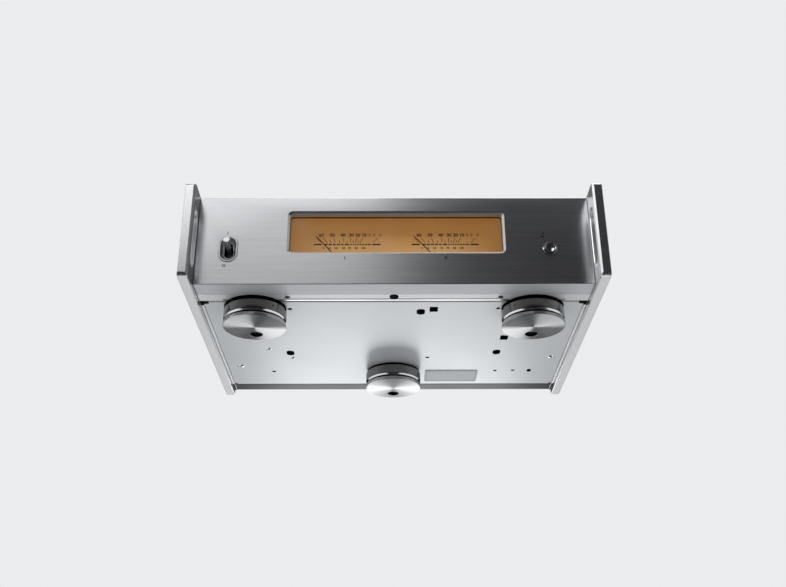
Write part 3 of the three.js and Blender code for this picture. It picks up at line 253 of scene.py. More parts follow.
def slab(plane: Plane, outline: Outline, low: float, high: float, edge: float) -> Shape:
    """Make a flat piece whose edges are broken on both faces."""
    return loft(plane, outline, [(-edge, low), (0.0, low + edge), (0.0, high - edge), (-edge, high)])


def hole(plane: Plane, outline: Outline, low: float, high: float, edge: float) -> Shape:
    """Make the cutting shape of a hole whose rims are broken on both faces.

    Args:
        plane: The outline's plane.
        outline: The hole's outline.
        low: Level of the lower face.
        high: Level of the upper face.
        edge: Width of the broken rim.

    Returns:
        A closed shape that runs a little past both faces.
    """
    wide = edge + OVERRUN
    stations = [(wide, low - OVERRUN), (0.0, low + edge), (0.0, high - edge), (wide, high + OVERRUN)]
    return loft(plane, outline, stations)


def turned(
    plane: Plane, profile: Profile, centre: Point = (0.0, 0.0), sides: int = 72, closed: bool = False
) -> Shape:
    """Turn a profile about the plane's normal.

    Args:
        plane: The plane that the circles lie in.
        profile: Radius and level of each corner, and its rounding where it has one.
        centre: The axis in the plane.
        sides: Steps round the axis.
        closed: True for a ring, whose profile runs back to its first point.

    Returns:
        A closed shape with its grain map laid round the axis.
    """
    shape = bmesh.new()
    grain = shape.loops.layers.uv.new(GRAIN_MAP)
    points = rounded_profile(profile)
    points += points[:1] if closed else []
    rings = []
    for radius, level in points:
        if radius == 0.0:
            rings.append([shape.verts.new(plane.place(*centre, level))] * sides)
            continue
        rings.append([
            shape.verts.new(plane.place(*on_circle(centre, radius, 2 * math.pi * i / sides), level))
            for i in range(sides)
        ])
    travel = 0.0
    for near, far, start, end in zip(rings, rings[1:], points, points[1:]):
        length = math.dist(start, end)
        for i in range(sides):
            after = (i + 1) % sides
            corners = [
                (near[i], travel, i), (near[after], travel, i + 1),
                (far[after], travel + length, i + 1), (far[i], travel + length, i),
            ]
            kept = []
            for corner in corners:
                if corner[0] not in [c[0] for c in kept]:
                    kept.append(corner)
            if len(kept) < 3:
                continue
            face = shape.faces.new([c[0] for c in kept])
            for loop, (_, along, step) in zip(face.loops, kept):
                loop[grain].uv = (along * MAP_SCALE, step / sides)
        travel += length
    return tidy(shape)


def tube(plane: Plane, radii: Point, levels: Point, centre: Point = (0.0, 0.0), sides: int = 72) -> Shape:
    """Make a plain ring with its inner and outer radius and its two levels."""
    (inner, outer), (low, high) = radii, levels
    return turned(plane, [(inner, low), (outer, low), (outer, high), (inner, high)], centre, sides, True)


def rounded_profile(corners: Profile, steps: int = 4) -> list[Point]:
    """Round the corners of a profile.

    Args:
        corners: Radius and level of each corner, and its rounding where it has one.
        steps: Steps in each rounding.

    Returns:
        The finer profile.
    """
    points: list[Point] = []
    for i, corner in enumerate(corners):
        if len(corner) == 2:
            points.append(corner)
            continue
        here = Vector(corner[:2])
        start = here + (Vector(corners[i - 1][:2]) - here).normalized() * corner[2]
        end = here + (Vector(corners[i + 1][:2]) - here).normalized() * corner[2]
        for step in range(steps + 1):
            share = step / steps
            point = start * (1 - share) ** 2 + here * 2 * share * (1 - share) + end * share**2
            points.append((point.x, point.y))
    return points


def lay_grain(shape: Shape, along: int) -> Shape:
    """Lay the grain map flat on each face.

    Args:
        shape: The shape.
        along: The axis that the grain follows, 0 for x, 1 for y and 2 for z.

    Returns:
        The same shape; the map's first axis runs across the grain and its second along it.
    """
    grain = shape.loops.layers.uv.get(GRAIN_MAP) or shape.loops.layers.uv.new(GRAIN_MAP)
    shape.normal_update()
    for face in shape.faces:
        sizes = [abs(part) for part in face.normal]
        facing = sizes.index(max(sizes))
        second = along if facing != along else (along + 1) % 3
        first = 3 - facing - second
        for loop in face.loops:
            place = loop.vert.co
            loop[grain].uv = (place[first] * MAP_SCALE, place[second] * MAP_SCALE)
    return shape


def loose_object(name: str, shape: Shape, sharp: float = 30.0) -> Object:
    """Put a shape in the scene as an object at the origin.

    Args:
        name: The object's name.
        shape: The shape, which is used up.
        sharp: Angle in degrees past which an edge is shaded sharp.

    Returns:
        The object.
    """
    mesh = bpy.data.meshes.new(name)
    shape.to_mesh(mesh)
    shape.free()
    mesh.shade_smooth()
    mesh.set_sharp_from_angle(angle=math.radians(sharp))
    made = bpy.data.objects.new(name, mesh)
    bpy.context.scene.collection.objects.link(made)
    return made


def drop(made: Object) -> None:
    """Remove a helper object and its mesh.

    Args:
        made: The object.
    """
    mesh = made.data
    bpy.data.objects.remove(made)
    bpy.data.meshes.remove(mesh)


def carve(body: Shape, tools: Sequence[Shape], operation: str = "DIFFERENCE") -> Shape:
    """Cut tools out of a body, or join them to it.

    Args:
        body: A closed shape, which is used up.
        tools: Closed shapes, which are used up.
        operation: DIFFERENCE or UNION.

    Returns:
        The new shape.
    """
    target = loose_object("work_body", body)
    helpers = [loose_object(f"work_tool_{i}", tool) for i, tool in enumerate(tools)]
    for helper in helpers:
        step = target.modifiers.new(helper.name, "BOOLEAN")
        step.operation = operation
        step.solver = "EXACT"
        step.object = helper
    result = bmesh.new()
    result.from_object(target, bpy.context.evaluated_depsgraph_get())
    for helper in (target, *helpers):
        drop(helper)
    return result


def merged(shapes: Sequence[Shape]) -> Shape:
    """Put several closed shapes into one.

    Args:
        shapes: The shapes, which are used up.

    Returns:
        One shape that holds them all.
    """
    result = bmesh.new()
    for shape in shapes:
        mesh = bpy.data.meshes.new("work_merge")
        shape.to_mesh(mesh)
        shape.free()
        result.from_mesh(mesh)
        bpy.data.meshes.remove(mesh)
    return result


def moved(shape: Shape, matrix: Matrix) -> Shape:
    """Turn and shift a shape."""
    bmesh.ops.transform(shape, matrix=matrix, verts=shape.verts)
    return shape


def lettering(text: str, place: Point, face: float, height: float) -> Shape:
    """Make a printed mark on an upright face that looks to the front.

    Args:
        text: The mark.
        place: Its middle on the face.
        face: Level of the face.
        height: Height of its capitals.

    Returns:
        Its shape, as thick as the ink.
    """
    curve = bpy.data.curves.new("work_mark", "FONT")
    curve.body = text
    curve.align_x = "CENTER"
    curve.align_y = "CENTER"
    curve.size = height / CAPITAL_HEIGHT
    curve.offset = STROKE_GAIN * height
    curve.extrude = INK_DEPTH / 2
    curve.resolution_u = 2
    holder = bpy.data.objects.new("work_mark", curve)
    bpy.context.scene.collection.objects.link(holder)
    depsgraph = bpy.context.evaluated_depsgraph_get()
    mesh = bpy.data.meshes.new_from_object(holder.evaluated_get(depsgraph), depsgraph=depsgraph)
    shape = bmesh.new()
    shape.from_mesh(mesh)
    bpy.data.meshes.remove(mesh)
    bpy.data.objects.remove(holder)
    bpy.data.curves.remove(curve)
    bmesh.ops.remove_doubles(shape, verts=shape.verts, dist=WELD)
    stand = Matrix.Translation(Plane.ACROSS.place(*place, face - INK_DEPTH / 2))
    return moved(shape, stand @ Matrix.Rotation(math.pi / 2, 4, "X"))


# Repeats in Geometry Nodes


class Wiring:
    """A node tree while its nodes are placed and joined."""

    def __init__(self, tree: Tree) -> None:
        """Start on a tree.

        Args:
            tree: The tree, which gets the nodes.
        """
        self.tree = tree
        self.column = 0
        self.ends: SocketList | None = None  # sockets that take a group's outputs

    def node(self, kind: str, **settings: object) -> Node:
        """Place a node.

        Args:
            kind: The node's type.
            settings: Properties to set on it.

        Returns:
            The node.
        """
        made = self.tree.nodes.new(kind)
        made.location = (self.column * 190, 0)
        self.column += 1
        for name, value in settings.items():
            setattr(made, name, value)
        return made

    def feed(self, socket: Socket, value: object) -> None:
        """Join an output to a socket, or set the socket's own value.

        Args:
            socket: The socket.
            value: An output or a plain value.
        """
        if isinstance(value, Socket):
            self.tree.links.new(value, socket)
        else:
            socket.default_value = value

    def placed(self, kind: str, values: Sequence[object] = (), **named: object) -> Node:
        """Place a node and feed its inputs.

        Args:
            kind: The node's type.
            values: Its first inputs, in order.
            named: Inputs by name; an underscore stands for a space.

        Returns:
            The node.
        """
        made = self.node(kind)
        for name, value in (*enumerate(values), *named.items()):
            self.feed(made.inputs[name if isinstance(name, int) else name.replace("_", " ")], value)
        return made

    def close(self, **values: object) -> Tree:
        """Feed the group's outputs by name and give the group.

        Args:
            values: The outputs' values.

        Returns:
            The finished group.
        """
        for name, value in values.items():
            self.feed(self.ends[name], value)
        return self.tree

    def varied(self, base: object, swing: object, share: object) -> Socket:
        """Add a share of a swing to a base."""
        return self.maths("ADD", base, self.maths("MULTIPLY", swing, share))

    def maths(self, operation: str, first: object, second: object = 0.0) -> Socket:
        """Place a Math node.

        Args:
            operation: Its operation.
            first: A value or an output.
            second: A value or an output.

        Returns:
            Its output.
        """
        made = self.placed("ShaderNodeMath", (first, second))
        made.operation = operation
        return made.outputs[0]

    def vector(self, operation: str, first: object, second: object) -> Socket:
        """Place a Vector Math node; SCALE takes a number as its second value.

        Args:
            operation: Its operation.
            first: A vector or an output.
            second: A vector, a number or an output.

        Returns:
            Its output.
        """
        made = self.node("ShaderNodeVectorMath", operation=operation)
        self.feed(made.inputs[0], first)
        self.feed(made.inputs["Scale" if operation == "SCALE" else 1], second)
        return made.outputs[0]

    def noise(self, place: object, scale: object, detail: float = 3.0) -> Socket:
        """Place a Noise Texture node and give its value, around one half."""
        values = {"Vector": place, "Scale": scale, "Detail": detail, "Roughness": 0.6}
        return self.placed("ShaderNodeTexNoise", **values).outputs[0]

    def remap(self, *ranges: object) -> Socket:
        """Map a value from a range to another: the value, the range's ends and the new range's ends."""
        return self.placed("ShaderNodeMapRange", ranges).outputs[0]

    def blend(self, share: object, first: object, second: object) -> Socket:
        """Mix two colours.

        Args:
            share: Share of the second colour.
            first: A colour or an output.
            second: A colour or an output.

        Returns:
            The mixed colour.
        """
        made = self.node("ShaderNodeMix", data_type="RGBA")
        for socket, value in zip((made.inputs[0], *made.inputs[6:8]), (share, first, second)):
            self.feed(socket, value)
        return made.outputs[2]


Sockets = dict[str, object]


def new_tree(name: str, kind: str, inputs: Sockets, outputs: Sockets) -> tuple[Wiring, SocketList]:
    """Start a node group with named sockets, each of its first value's type.

    Args:
        name: The group's name.
        kind: GeometryNodeTree or ShaderNodeTree.
        inputs: First value of each input, or the socket type's name where it has no value.
        outputs: The same for each output.

    Returns:
        The wiring, and the sockets that give the inputs.
    """
    tree = bpy.data.node_groups.new(name, kind)
    for sockets, way in ((inputs, "INPUT"), (outputs, "OUTPUT")):
        for label, value in sockets.items():
            plain = isinstance(value, str)
            size = len(value) if isinstance(value, tuple) else type(value)
            kind = value if plain else {3: "Vector", 4: "Color", int: "Int", float: "Float"}[size]
            item = tree.interface.new_socket(label, in_out=way, socket_type=f"NodeSocket{kind}")
            if not plain and way == "INPUT":
                item.default_value = value
    wiring = Wiring(tree)
    start = wiring.node("NodeGroupInput")
    end = tree.nodes.new("NodeGroupOutput")
    end.location = (2400, 0)
    wiring.ends = end.inputs
    return wiring, start.outputs


class Repeat(Enum):
    """How a Geometry Nodes tree lays out its copies."""

    ROW = "row of copies"
    RING = "ring of copies"
    SEATS = "copies on seats"


class Patterns:
    """Geometry Nodes trees that repeat a master piece."""

    def __init__(self) -> None:
        """Start without trees."""
        self.trees: dict[Repeat, Tree] = {}

    def tree(self, repeat: Repeat) -> Tree:
        """Give the tree of a layout, built on first use.

        Args:
            repeat: The layout.

        Returns:
            The tree, which ends in Realize Instances and Set Material.
        """
        if repeat in self.trees:
            return self.trees[repeat]
        origin = (0.0, 0.0, 0.0)
        wiring, take = new_tree(repeat.value, "GeometryNodeTree", {
            "Geometry": "Geometry", "Master": "Object", "Finish": "Material", "Count": 1, "Start": origin,
            "Step": origin, "Seed": 3,
        }, {"Geometry": "Geometry"})
        index = wiring.node("GeometryNodeInputIndex").outputs[0]
        master = wiring.placed("GeometryNodeObjectInfo", Object=take["Master"])
        copies = wiring.placed("GeometryNodeInstanceOnPoints", Instance=master.outputs["Geometry"])
        if repeat is Repeat.SEATS:
            seats = wiring.placed("GeometryNodeMeshToPoints", Mesh=take["Geometry"])
            turn = wiring.node("FunctionNodeRandomValue", data_type="FLOAT_VECTOR")
            wiring.feed(turn.inputs[0], origin)
            wiring.feed(turn.inputs[1], take["Step"])
            wiring.feed(turn.inputs["Seed"], take["Seed"])
            wiring.feed(copies.inputs["Points"], seats.outputs[0])
            wiring.feed(copies.inputs["Rotation"], turn.outputs[0])
        else:
            points = wiring.placed("GeometryNodePoints", Count=take["Count"])
            shift = wiring.vector("SCALE", take["Step"], index)
            wiring.feed(copies.inputs["Points"], points.outputs[0])
            if repeat is Repeat.ROW:
                wiring.feed(points.inputs["Position"], wiring.vector("ADD", take["Start"], shift))
            else:
                wiring.feed(points.inputs["Position"], take["Start"])
                wiring.feed(copies.inputs["Rotation"], shift)
        real = wiring.placed("GeometryNodeRealizeInstances", Geometry=copies.outputs[0])
        finish = wiring.placed(
            "GeometryNodeSetMaterial", Geometry=real.outputs[0], Material=take["Finish"]
        )
        self.trees[repeat] = wiring.close(Geometry=finish.outputs[0])
        return self.trees[repeat]

    def run(
        self, repeat: Repeat, master: Shape, material: Material, seats: Sequence[Vector] = (),
        **inputs: object,
    ) -> Shape:
        """Repeat a master and give the result as a plain shape.

        Args:
            repeat: The layout.
            master: The shape that is repeated, which is used up.
            material: Its finish.
            seats: Places of the copies, where the layout has seats.
            inputs: Values of the tree's named inputs.

        Returns:
            One shape with all the copies.
        """
        tree = self.tree(repeat)
        helper = loose_object("work_master", master)
        seat_mesh = bpy.data.meshes.new("work_seats")
        seat_mesh.from_pydata([tuple(seat) for seat in seats], [], [])
        carrier = bpy.data.objects.new("work_seats", seat_mesh)
        bpy.context.scene.collection.objects.link(carrier)
        step = carrier.modifiers.new("repeat", "NODES")
        step.node_group = tree
        values = {"Master": helper, "Finish": material, **inputs}
        for item in tree.interface.items_tree:
            if item.in_out == "INPUT" and item.name in values:
                step[item.identifier] = values[item.name]
        depsgraph = bpy.context.evaluated_depsgraph_get()
        mesh = bpy.data.meshes.new_from_object(carrier.evaluated_get(depsgraph), depsgraph=depsgraph)
        carrier.modifiers.remove(step)
        result = bmesh.new()
        result.from_mesh(mesh)
        bpy.data.meshes.remove(mesh)
        drop(carrier)
        drop(helper)
        return result


# Finishes


SKIN = {"Colour": (0.0, 0.0, 0.0, 1.0), "Roughness": 0.0, "Height": 0.0}  # what most groups put out


class Effects:
    """Shader groups that several finishes share."""

    def __init__(self) -> None:
        """Build the groups."""
        self.line_grain = self.build_line_grain()
        self.paint_skin = self.build_paint_skin()
        self.moulding = self.build_moulding()
        self.handling = self.build_handling()

    @staticmethod
    def build_line_grain() -> Tree:
        """Build the group of fine parallel lines, as brushing or turning leaves them.

        Returns:
            The group.
        """
        wiring, take = new_tree("line grain", "ShaderNodeTree", {
            "Place": (0.0, 0.0, 0.0), "Stretch": (1.0, 1.0, 1.0), "Colour": (0.8, 0.8, 0.8, 1.0),
            "Contrast": 0.1, "Roughness": 0.3, "Spread": 0.1,
        }, SKIN)
        place = wiring.vector("MULTIPLY", take["Place"], take["Stretch"])
        fine = wiring.maths("MULTIPLY", wiring.noise(place, 1.0, 4.0), 0.6)
        broad = wiring.maths("MULTIPLY", wiring.noise(place, 0.23, 2.0), 0.4)
        lines = wiring.maths("ADD", fine, broad)
        swing = wiring.maths("SUBTRACT", lines, 0.5)
        shade = wiring.varied(1.0, swing, take["Contrast"])
        return wiring.close(
            Colour=wiring.vector("SCALE", take["Colour"], shade),
            Roughness=wiring.varied(take["Roughness"], swing, take["Spread"]), Height=lines,
        )

    @staticmethod
    def build_paint_skin() -> Tree:
        """Build the group of sprayed paint: a slight orange peel and a soft change of tone.

        Returns:
            The group.
        """
        wiring, take = new_tree("paint skin", "ShaderNodeTree", {
            "Place": (0.0, 0.0, 0.0), "Colour": (0.8, 0.8, 0.8, 1.0), "Peel Scale": 900.0, "Fleck": 0.05,
            "Roughness": 0.4, "Spread": 0.1,
        }, SKIN)
        peel = wiring.noise(take["Place"], take["Peel Scale"], 2.0)
        tone = wiring.maths("SUBTRACT", wiring.noise(take["Place"], 26.0, 2.0), 0.5)
        grains = wiring.noise(take["Place"], wiring.maths("MULTIPLY", take["Peel Scale"], 4.0), 1.0)
        swing = wiring.maths("SUBTRACT", grains, 0.5)
        shade = wiring.varied(1.0, wiring.varied(swing, tone, 0.35), take["Fleck"])
        return wiring.close(
            Colour=wiring.vector("SCALE", take["Colour"], shade),
            Roughness=wiring.varied(take["Roughness"], tone, take["Spread"]), Height=peel,
        )

    @staticmethod
    def build_moulding() -> Tree:
        """Build the group of moulded plastic: a spark-eroded grain with a little dust in it.

        Returns:
            The group.
        """
        wiring, take = new_tree("moulding", "ShaderNodeTree", {
            "Place": (0.0, 0.0, 0.0), "Colour": (0.1, 0.1, 0.1, 1.0), "Grain Scale": 2200.0, "Dust": 0.1,
            "Roughness": 0.4, "Spread": 0.1,
        }, SKIN)
        cells = wiring.placed("ShaderNodeTexVoronoi", Vector=take["Place"], Scale=take["Grain Scale"])
        dust = wiring.remap(wiring.noise(take["Place"], 60.0, 4.0), 0.45, 0.75, 0.0, 1.0)
        share = wiring.maths("MULTIPLY", dust, take["Dust"])
        return wiring.close(
            Colour=wiring.blend(share, take["Colour"], (0.45, 0.44, 0.42, 1.0)),
            Roughness=wiring.varied(take["Roughness"], dust, take["Spread"]),
            Height=cells.outputs["Distance"],
        )

    @staticmethod
    def build_handling() -> Tree:
        """Build the group of faint smears, which roughen a surface in broad patches.

        Returns:
            The group.
        """
        wiring, take = new_tree(
            "handling", "ShaderNodeTree", {"Place": (0.0, 0.0, 0.0), "Roughness": 0.3, "Amount": 0.1},
            {"Roughness": 0.0, "Mask": 0.0},
        )
        mask = wiring.remap(wiring.noise(take["Place"], 21.0, 5.0), 0.5, 0.72, 0.0, 1.0)
        return wiring.close(Roughness=wiring.varied(take["Roughness"], mask, take["Amount"]), Mask=mask)


class Surface:
    """One material with a Principled shader, while it is being made."""

    def __init__(self, name: str, effects: Effects) -> None:
        """Start a material.

        Args:
            name: The material's name.
            effects: The shared shader groups.
        """
        self.material = bpy.data.materials.new(name)
        self.material.use_nodes = True
        tree = self.material.node_tree
        tree.nodes.clear()
        self.effects = effects
        self.wiring = Wiring(tree)
        self.shader = self.wiring.node("ShaderNodeBsdfPrincipled")
        output = self.wiring.node("ShaderNodeOutputMaterial")
        tree.links.new(self.shader.outputs[0], output.inputs["Surface"])
        self.place = self.wiring.node("ShaderNodeTexCoord").outputs["Object"]

    def constant(self, **values: object) -> None:
        """Set the shader's own sockets; an underscore in a name stands for a space."""
        for name, value in values.items():
            self.shader.inputs[name.replace("_", " ")].default_value = value

    def feed(self, name: str, value: object) -> None:
        """Feed one of the shader's sockets."""
        self.wiring.feed(self.shader.inputs[name], value)

    def group(self, effect: str, place: object = None, **values: object) -> SocketList:
        """Place a shader group.

        Args:
            effect: The group's name among the effects.
            place: Coordinates other than the object's own.
            values: Its other inputs; an underscore in a name stands for a space.

        Returns:
            The group's outputs.
        """
        made = self.wiring.node("ShaderNodeGroup", node_tree=getattr(self.effects, effect))
        for name, value in {"Place": place or self.place, **values}.items():
            self.wiring.feed(made.inputs[name.replace("_", " ")], value)
        return made.outputs

    def skin(self, outputs: SocketList, depth: float) -> None:
        """Feed colour, roughness and relief from a group.

        Args:
            outputs: The group's outputs.
            depth: The relief's full height in metres.
        """
        self.feed("Base Color", outputs["Colour"])
        self.feed("Roughness", outputs["Roughness"])
        self.relief(outputs["Height"], depth)

    def relief(self, height: object, depth: float) -> None:
        """Feed the normal from a height."""
        bump = self.wiring.placed("ShaderNodeBump", Strength=1.0, Distance=depth, Height=height)
        self.feed("Normal", bump.outputs[0])


def rgba(colour: Colour) -> tuple[float, float, float, float]:
    """Give a colour its fourth value."""
    return (*colour, 1.0)


@dataclass(frozen=True)
class Finish:
    """How a surface is finished; each kind wires its shader in its own way."""

    name: str
    slot: str
    colour: Colour

    def material(self, effects: Effects) -> Material:
        """Make the material.

        Args:
            effects: The shared shader groups.

        Returns:
            The material.
        """
        surface = Surface(self.name, effects)
        self.dress(surface)
        return surface.material

    def dress(self, surface: Surface) -> None:
        """Wire the surface; each kind of finish has its own way."""
        raise NotImplementedError


@dataclass(frozen=True)
class Metal(Finish):
    """Bare or anodised metal with a line grain."""

    roughness: float
    stretch: Triple = (40.0, 1500.0, 1500.0)
    mapped: bool = False
    anisotropy: float = 0.0
    contrast: float = 0.2
    spread: float = 0.12
    depth: float = 0.004 * MM
    smears: float = 0.06

    def dress(self, surface: Surface) -> None:
        """Lay the grain over faint smears, and stretch the highlight across mapped grain.

        Args:
            surface: The surface under work.
        """
        surface.constant(Metallic=1.0, Anisotropic=self.anisotropy)
        smear = surface.group("handling", Roughness=self.roughness, Amount=self.smears)
        place = None
        if self.mapped:
            place = surface.wiring.node("ShaderNodeUVMap", uv_map=GRAIN_MAP).outputs[0]
            tangent = surface.wiring.node("ShaderNodeTangent", direction_type="UV_MAP", uv_map=GRAIN_MAP)
            surface.feed("Tangent", tangent.outputs[0])
        surface.skin(surface.group(
            "line_grain", place, Stretch=self.stretch, Colour=rgba(self.colour), Contrast=self.contrast,
            Roughness=smear["Roughness"], Spread=self.spread,
        ), self.depth)


@dataclass(frozen=True)
class Paint(Finish):
    """Sprayed sheet metal."""

    roughness: float
    metallic: float = 0.25
    coat: float = 0.0
    peel: float = 900.0
    fleck: float = 0.08
    spread: float = 0.1
    depth: float = 0.006 * MM

    def dress(self, surface: Surface) -> None:
        """Lay the paint's skin.

        Args:
            surface: The surface under work.
        """
        surface.constant(Metallic=self.metallic, Coat_Weight=self.coat, Coat_Roughness=0.2)
        surface.skin(surface.group(
            "paint_skin", Colour=rgba(self.colour), Peel_Scale=self.peel, Fleck=self.fleck,
            Roughness=self.roughness, Spread=self.spread,
        ), self.depth)


@dataclass(frozen=True)
class Plastic(Finish):
    """Moulded plastic."""

    roughness: float
    grain: float = 2200.0
    dust: float = 0.05
    depth: float = 0.01 * MM
    specular: float = 0.5

    def dress(self, surface: Surface) -> None:
        """Lay the moulded skin.

        Args:
            surface: The surface under work.
        """
        surface.constant(Specular_IOR_Level=self.specular)
        surface.skin(surface.group(
            "moulding", Colour=rgba(self.colour), Grain_Scale=self.grain, Dust=self.dust,
            Roughness=self.roughness, Spread=0.15,
        ), self.depth)


@dataclass(frozen=True)
class AmberDial(Finish):
    """Translucent amber dial lit from behind, brightest along its foot."""

    glow: Colour
    foot_glow: Colour
    foot: float
    head: float
    half_width: float = 78.0 * MM

    def dress(self, surface: Surface) -> None:
        """Lay the skin and let it glow from its foot, a little less at the ends.

        Args:
            surface: The surface under work.
        """
        wiring = surface.wiring
        surface.constant(Emission_Strength=1.0)
        surface.skin(surface.group(
            "moulding", Colour=rgba(self.colour), Grain_Scale=3000.0, Dust=0.0, Roughness=0.55, Spread=0.1
        ), 0.004 * MM)
        axes = wiring.placed("ShaderNodeSeparateXYZ", Vector=surface.place).outputs
        across = wiring.maths("ABSOLUTE", axes["X"])
        middle = wiring.remap(across, 0.55 * self.half_width, self.half_width, 1.0, 0.0)
        rise = wiring.remap(axes["Z"], self.foot, self.head, 1.0, 0.0)
        foot_share = wiring.maths("MULTIPLY", wiring.maths("POWER", rise, 0.8), middle)
        ends = wiring.varied(0.88, middle, 0.14)
        uneven = wiring.remap(wiring.noise(surface.place, 30.0, 1.0), 0.3, 0.7, 0.96, 1.04)
        cloud = wiring.maths("MULTIPLY", ends, uneven)
        glow = wiring.blend(foot_share, rgba(self.glow), rgba(self.foot_glow))
        surface.feed("Emission Color", wiring.vector("SCALE", glow, cloud))


@dataclass(frozen=True)
class ClearPane(Finish):
    """Clear acrylic, which shows more of itself at a slant."""

    least: float = 0.03
    most: float = 0.5
    index: float = 1.49

    def dress(self, surface: Surface) -> None:
        """Make it clear, with a haze of smears.

        Args:
            surface: The surface under work.
        """
        wiring = surface.wiring
        surface.constant(IOR=self.index, Coat_Weight=0.6, Coat_Roughness=0.03)
        smear = surface.group("handling", Roughness=0.04, Amount=0.05)
        slant = wiring.placed("ShaderNodeFresnel", IOR=self.index).outputs[0]
        alpha = wiring.remap(slant, 0.03, 0.6, self.least, self.most)
        surface.feed("Alpha", wiring.varied(alpha, smear["Mask"], 0.01))
        surface.feed("Base Color", wiring.blend(smear["Mask"], rgba(self.colour), (0.9, 0.92, 0.93, 1.0)))
        surface.feed("Roughness", smear["Roughness"])


@dataclass(frozen=True)
class CircuitBoard(Finish):
    """Green board with its tracks under the solder mask, and dark parts standing on it."""

    track: Colour

    def dress(self, surface: Surface) -> None:
        """Lay rows of tracks under the mask.

        Args:
            surface: The surface under work.
        """
        surface.constant(Coat_Weight=0.3, Coat_Roughness=0.15)
        bricks = surface.wiring.placed(
            "ShaderNodeTexBrick", Vector=surface.place, Scale=60.0, Mortar_Size=0.06, Brick_Width=0.9,
            Row_Height=0.3, Color1=rgba(self.colour), Color2=rgba(tuple(0.8 * part for part in self.colour)),
            Mortar=rgba(self.track),
        ).outputs
        mask = surface.group(
            "moulding", Colour=bricks["Color"], Grain_Scale=1500.0, Dust=0.1, Roughness=0.35, Spread=0.2
        )
        surface.feed("Base Color", mask["Colour"])
        surface.feed("Roughness", mask["Roughness"])
        surface.relief(bricks["Fac"], 0.03 * MM)


@dataclass(frozen=True)
class CopperWinding(Finish):
    """Lacquered copper wire, its lacquer darker in uneven patches."""

    shade: Colour

    def dress(self, surface: Surface) -> None:
        """Lay uneven lacquer.

        Args:
            surface: The surface under work.
        """
        wiring = surface.wiring
        surface.constant(Metallic=0.8, Coat_Weight=0.5, Coat_Roughness=0.2)
        tone = wiring.noise(surface.place, 140.0, 3.0)
        share = wiring.remap(tone, 0.35, 0.65, 0.0, 1.0)
        surface.feed("Base Color", wiring.blend(share, rgba(self.colour), rgba(self.shade)))
        surface.feed("Roughness", surface.group("handling", Roughness=0.3, Amount=0.2)["Roughness"])
        surface.relief(tone, 0.05 * MM)


ACROSS_LINES = (170.0, 3.0, 1.0)  # lines of the grain map: fine across, long along
TURNED_LINES = (220.0, 1.5, 1.0)

FACE = Metal(
    "brushed_face", "face_aluminium", (0.84, 0.85, 0.87), 0.31, ACROSS_LINES, True, 0.78, 0.5, 0.1,
    smears=0.0,
)
RETURN = Paint("anodised_return", "face_aluminium", (0.70, 0.72, 0.75), 0.50, 0.45, 0.0, 2000.0, 0.05)
SIDE = Metal(
    "satin_side", "side_aluminium", (0.90, 0.91, 0.93), 0.29, (900.0, 900.0, 900.0), False, 0.0, 0.05, 0.08,
    smears=0.02,
)
SIDE_EDGE = Metal(
    "smooth_edge", "side_aluminium", (0.88, 0.89, 0.91), 0.26, (900.0, 900.0, 900.0), smears=0.0
)
# near-white paint over the side plates' underside: painted light, a lit copy of their aluminium
LIT_LOWER_EDGE = Paint("lower_edge_painted_light", "side_aluminium", (0.96, 0.97, 0.98), 0.42, 0.2, 0.0, 1500.0, 0.0)
CASE = Paint("plated_steel", "case_steel", (0.90, 0.92, 0.94), 0.38, 0.5, 0.1, 1400.0)
UNDERSIDE = Paint("underside_paint", "bottom_sheet", (0.79, 0.82, 0.85), 0.35, 0.45, 0.1)
COVER = Paint("cover_paint", "cover_sheet", (0.80, 0.81, 0.82), 0.38, 0.45, 0.15)
REAR = Paint("rear_paint", "rear_sheet", (0.058, 0.064, 0.074), 0.34, 0.75, 0.0)
REVEAL = Paint("window_reveal", "face_aluminium", (0.42, 0.47, 0.52), 0.55, 0.15, 0.0, 2000.0, 0.05)
# dark grey for the label's printed border, also used as painted shade in the seam behind the front flange
PRINT_AND_SEAM_SHADE = Paint("label_print_and_seam_shade", "bottom_sheet", (0.22, 0.24, 0.26), 0.40, 0.2, 0.0, 2500.0)
PANE = ClearPane("clear_pane", "window", (0.30, 0.27, 0.22))
DIAL = AmberDial(
    "amber_dial", "dial", (0.30, 0.14, 0.03), (0.24, 0.105, 0.022), (0.46, 0.262, 0.097), 40.0 * MM, 58.0 * MM
)
INK = Paint("needle_ink", "needle_ink", (0.01, 0.02, 0.045), 0.45, 0.0, 0.0, 1500.0)
FAINT_INK = Paint("faint_ink", "needle_ink", (0.16, 0.06, 0.02), 0.45, 0.0, 0.0, 1500.0)
# dark amber brown: painted shade, with a painted reflection of the amber dial, for the band between pane and
# dial
SHADED_SURROUND = Paint("dial_surround_painted_shade", "black_plastic", (0.16, 0.09, 0.035), 0.5, 0.1)
MARKING = Paint("marking_ink", "face_aluminium", (0.03, 0.035, 0.045), 0.45, 0.0, 0.0, 1500.0)
BRIGHT = Metal(
    "polished_metal", "bright_metal", (0.86, 0.87, 0.88), 0.14, TURNED_LINES, True, 0.2, 0.05, 0.05
)
SATIN = Metal(
    "satin_fitting", "bright_metal", (0.80, 0.81, 0.83), 0.34, TURNED_LINES, True, 0.2, 0.05, 0.05, smears=0.0
)
FOOT = Metal(
    "turned_foot", "foot_metal", (0.64, 0.65, 0.66), 0.30, TURNED_LINES, True, 1.0, 0.2, 0.06, smears=0.0
)
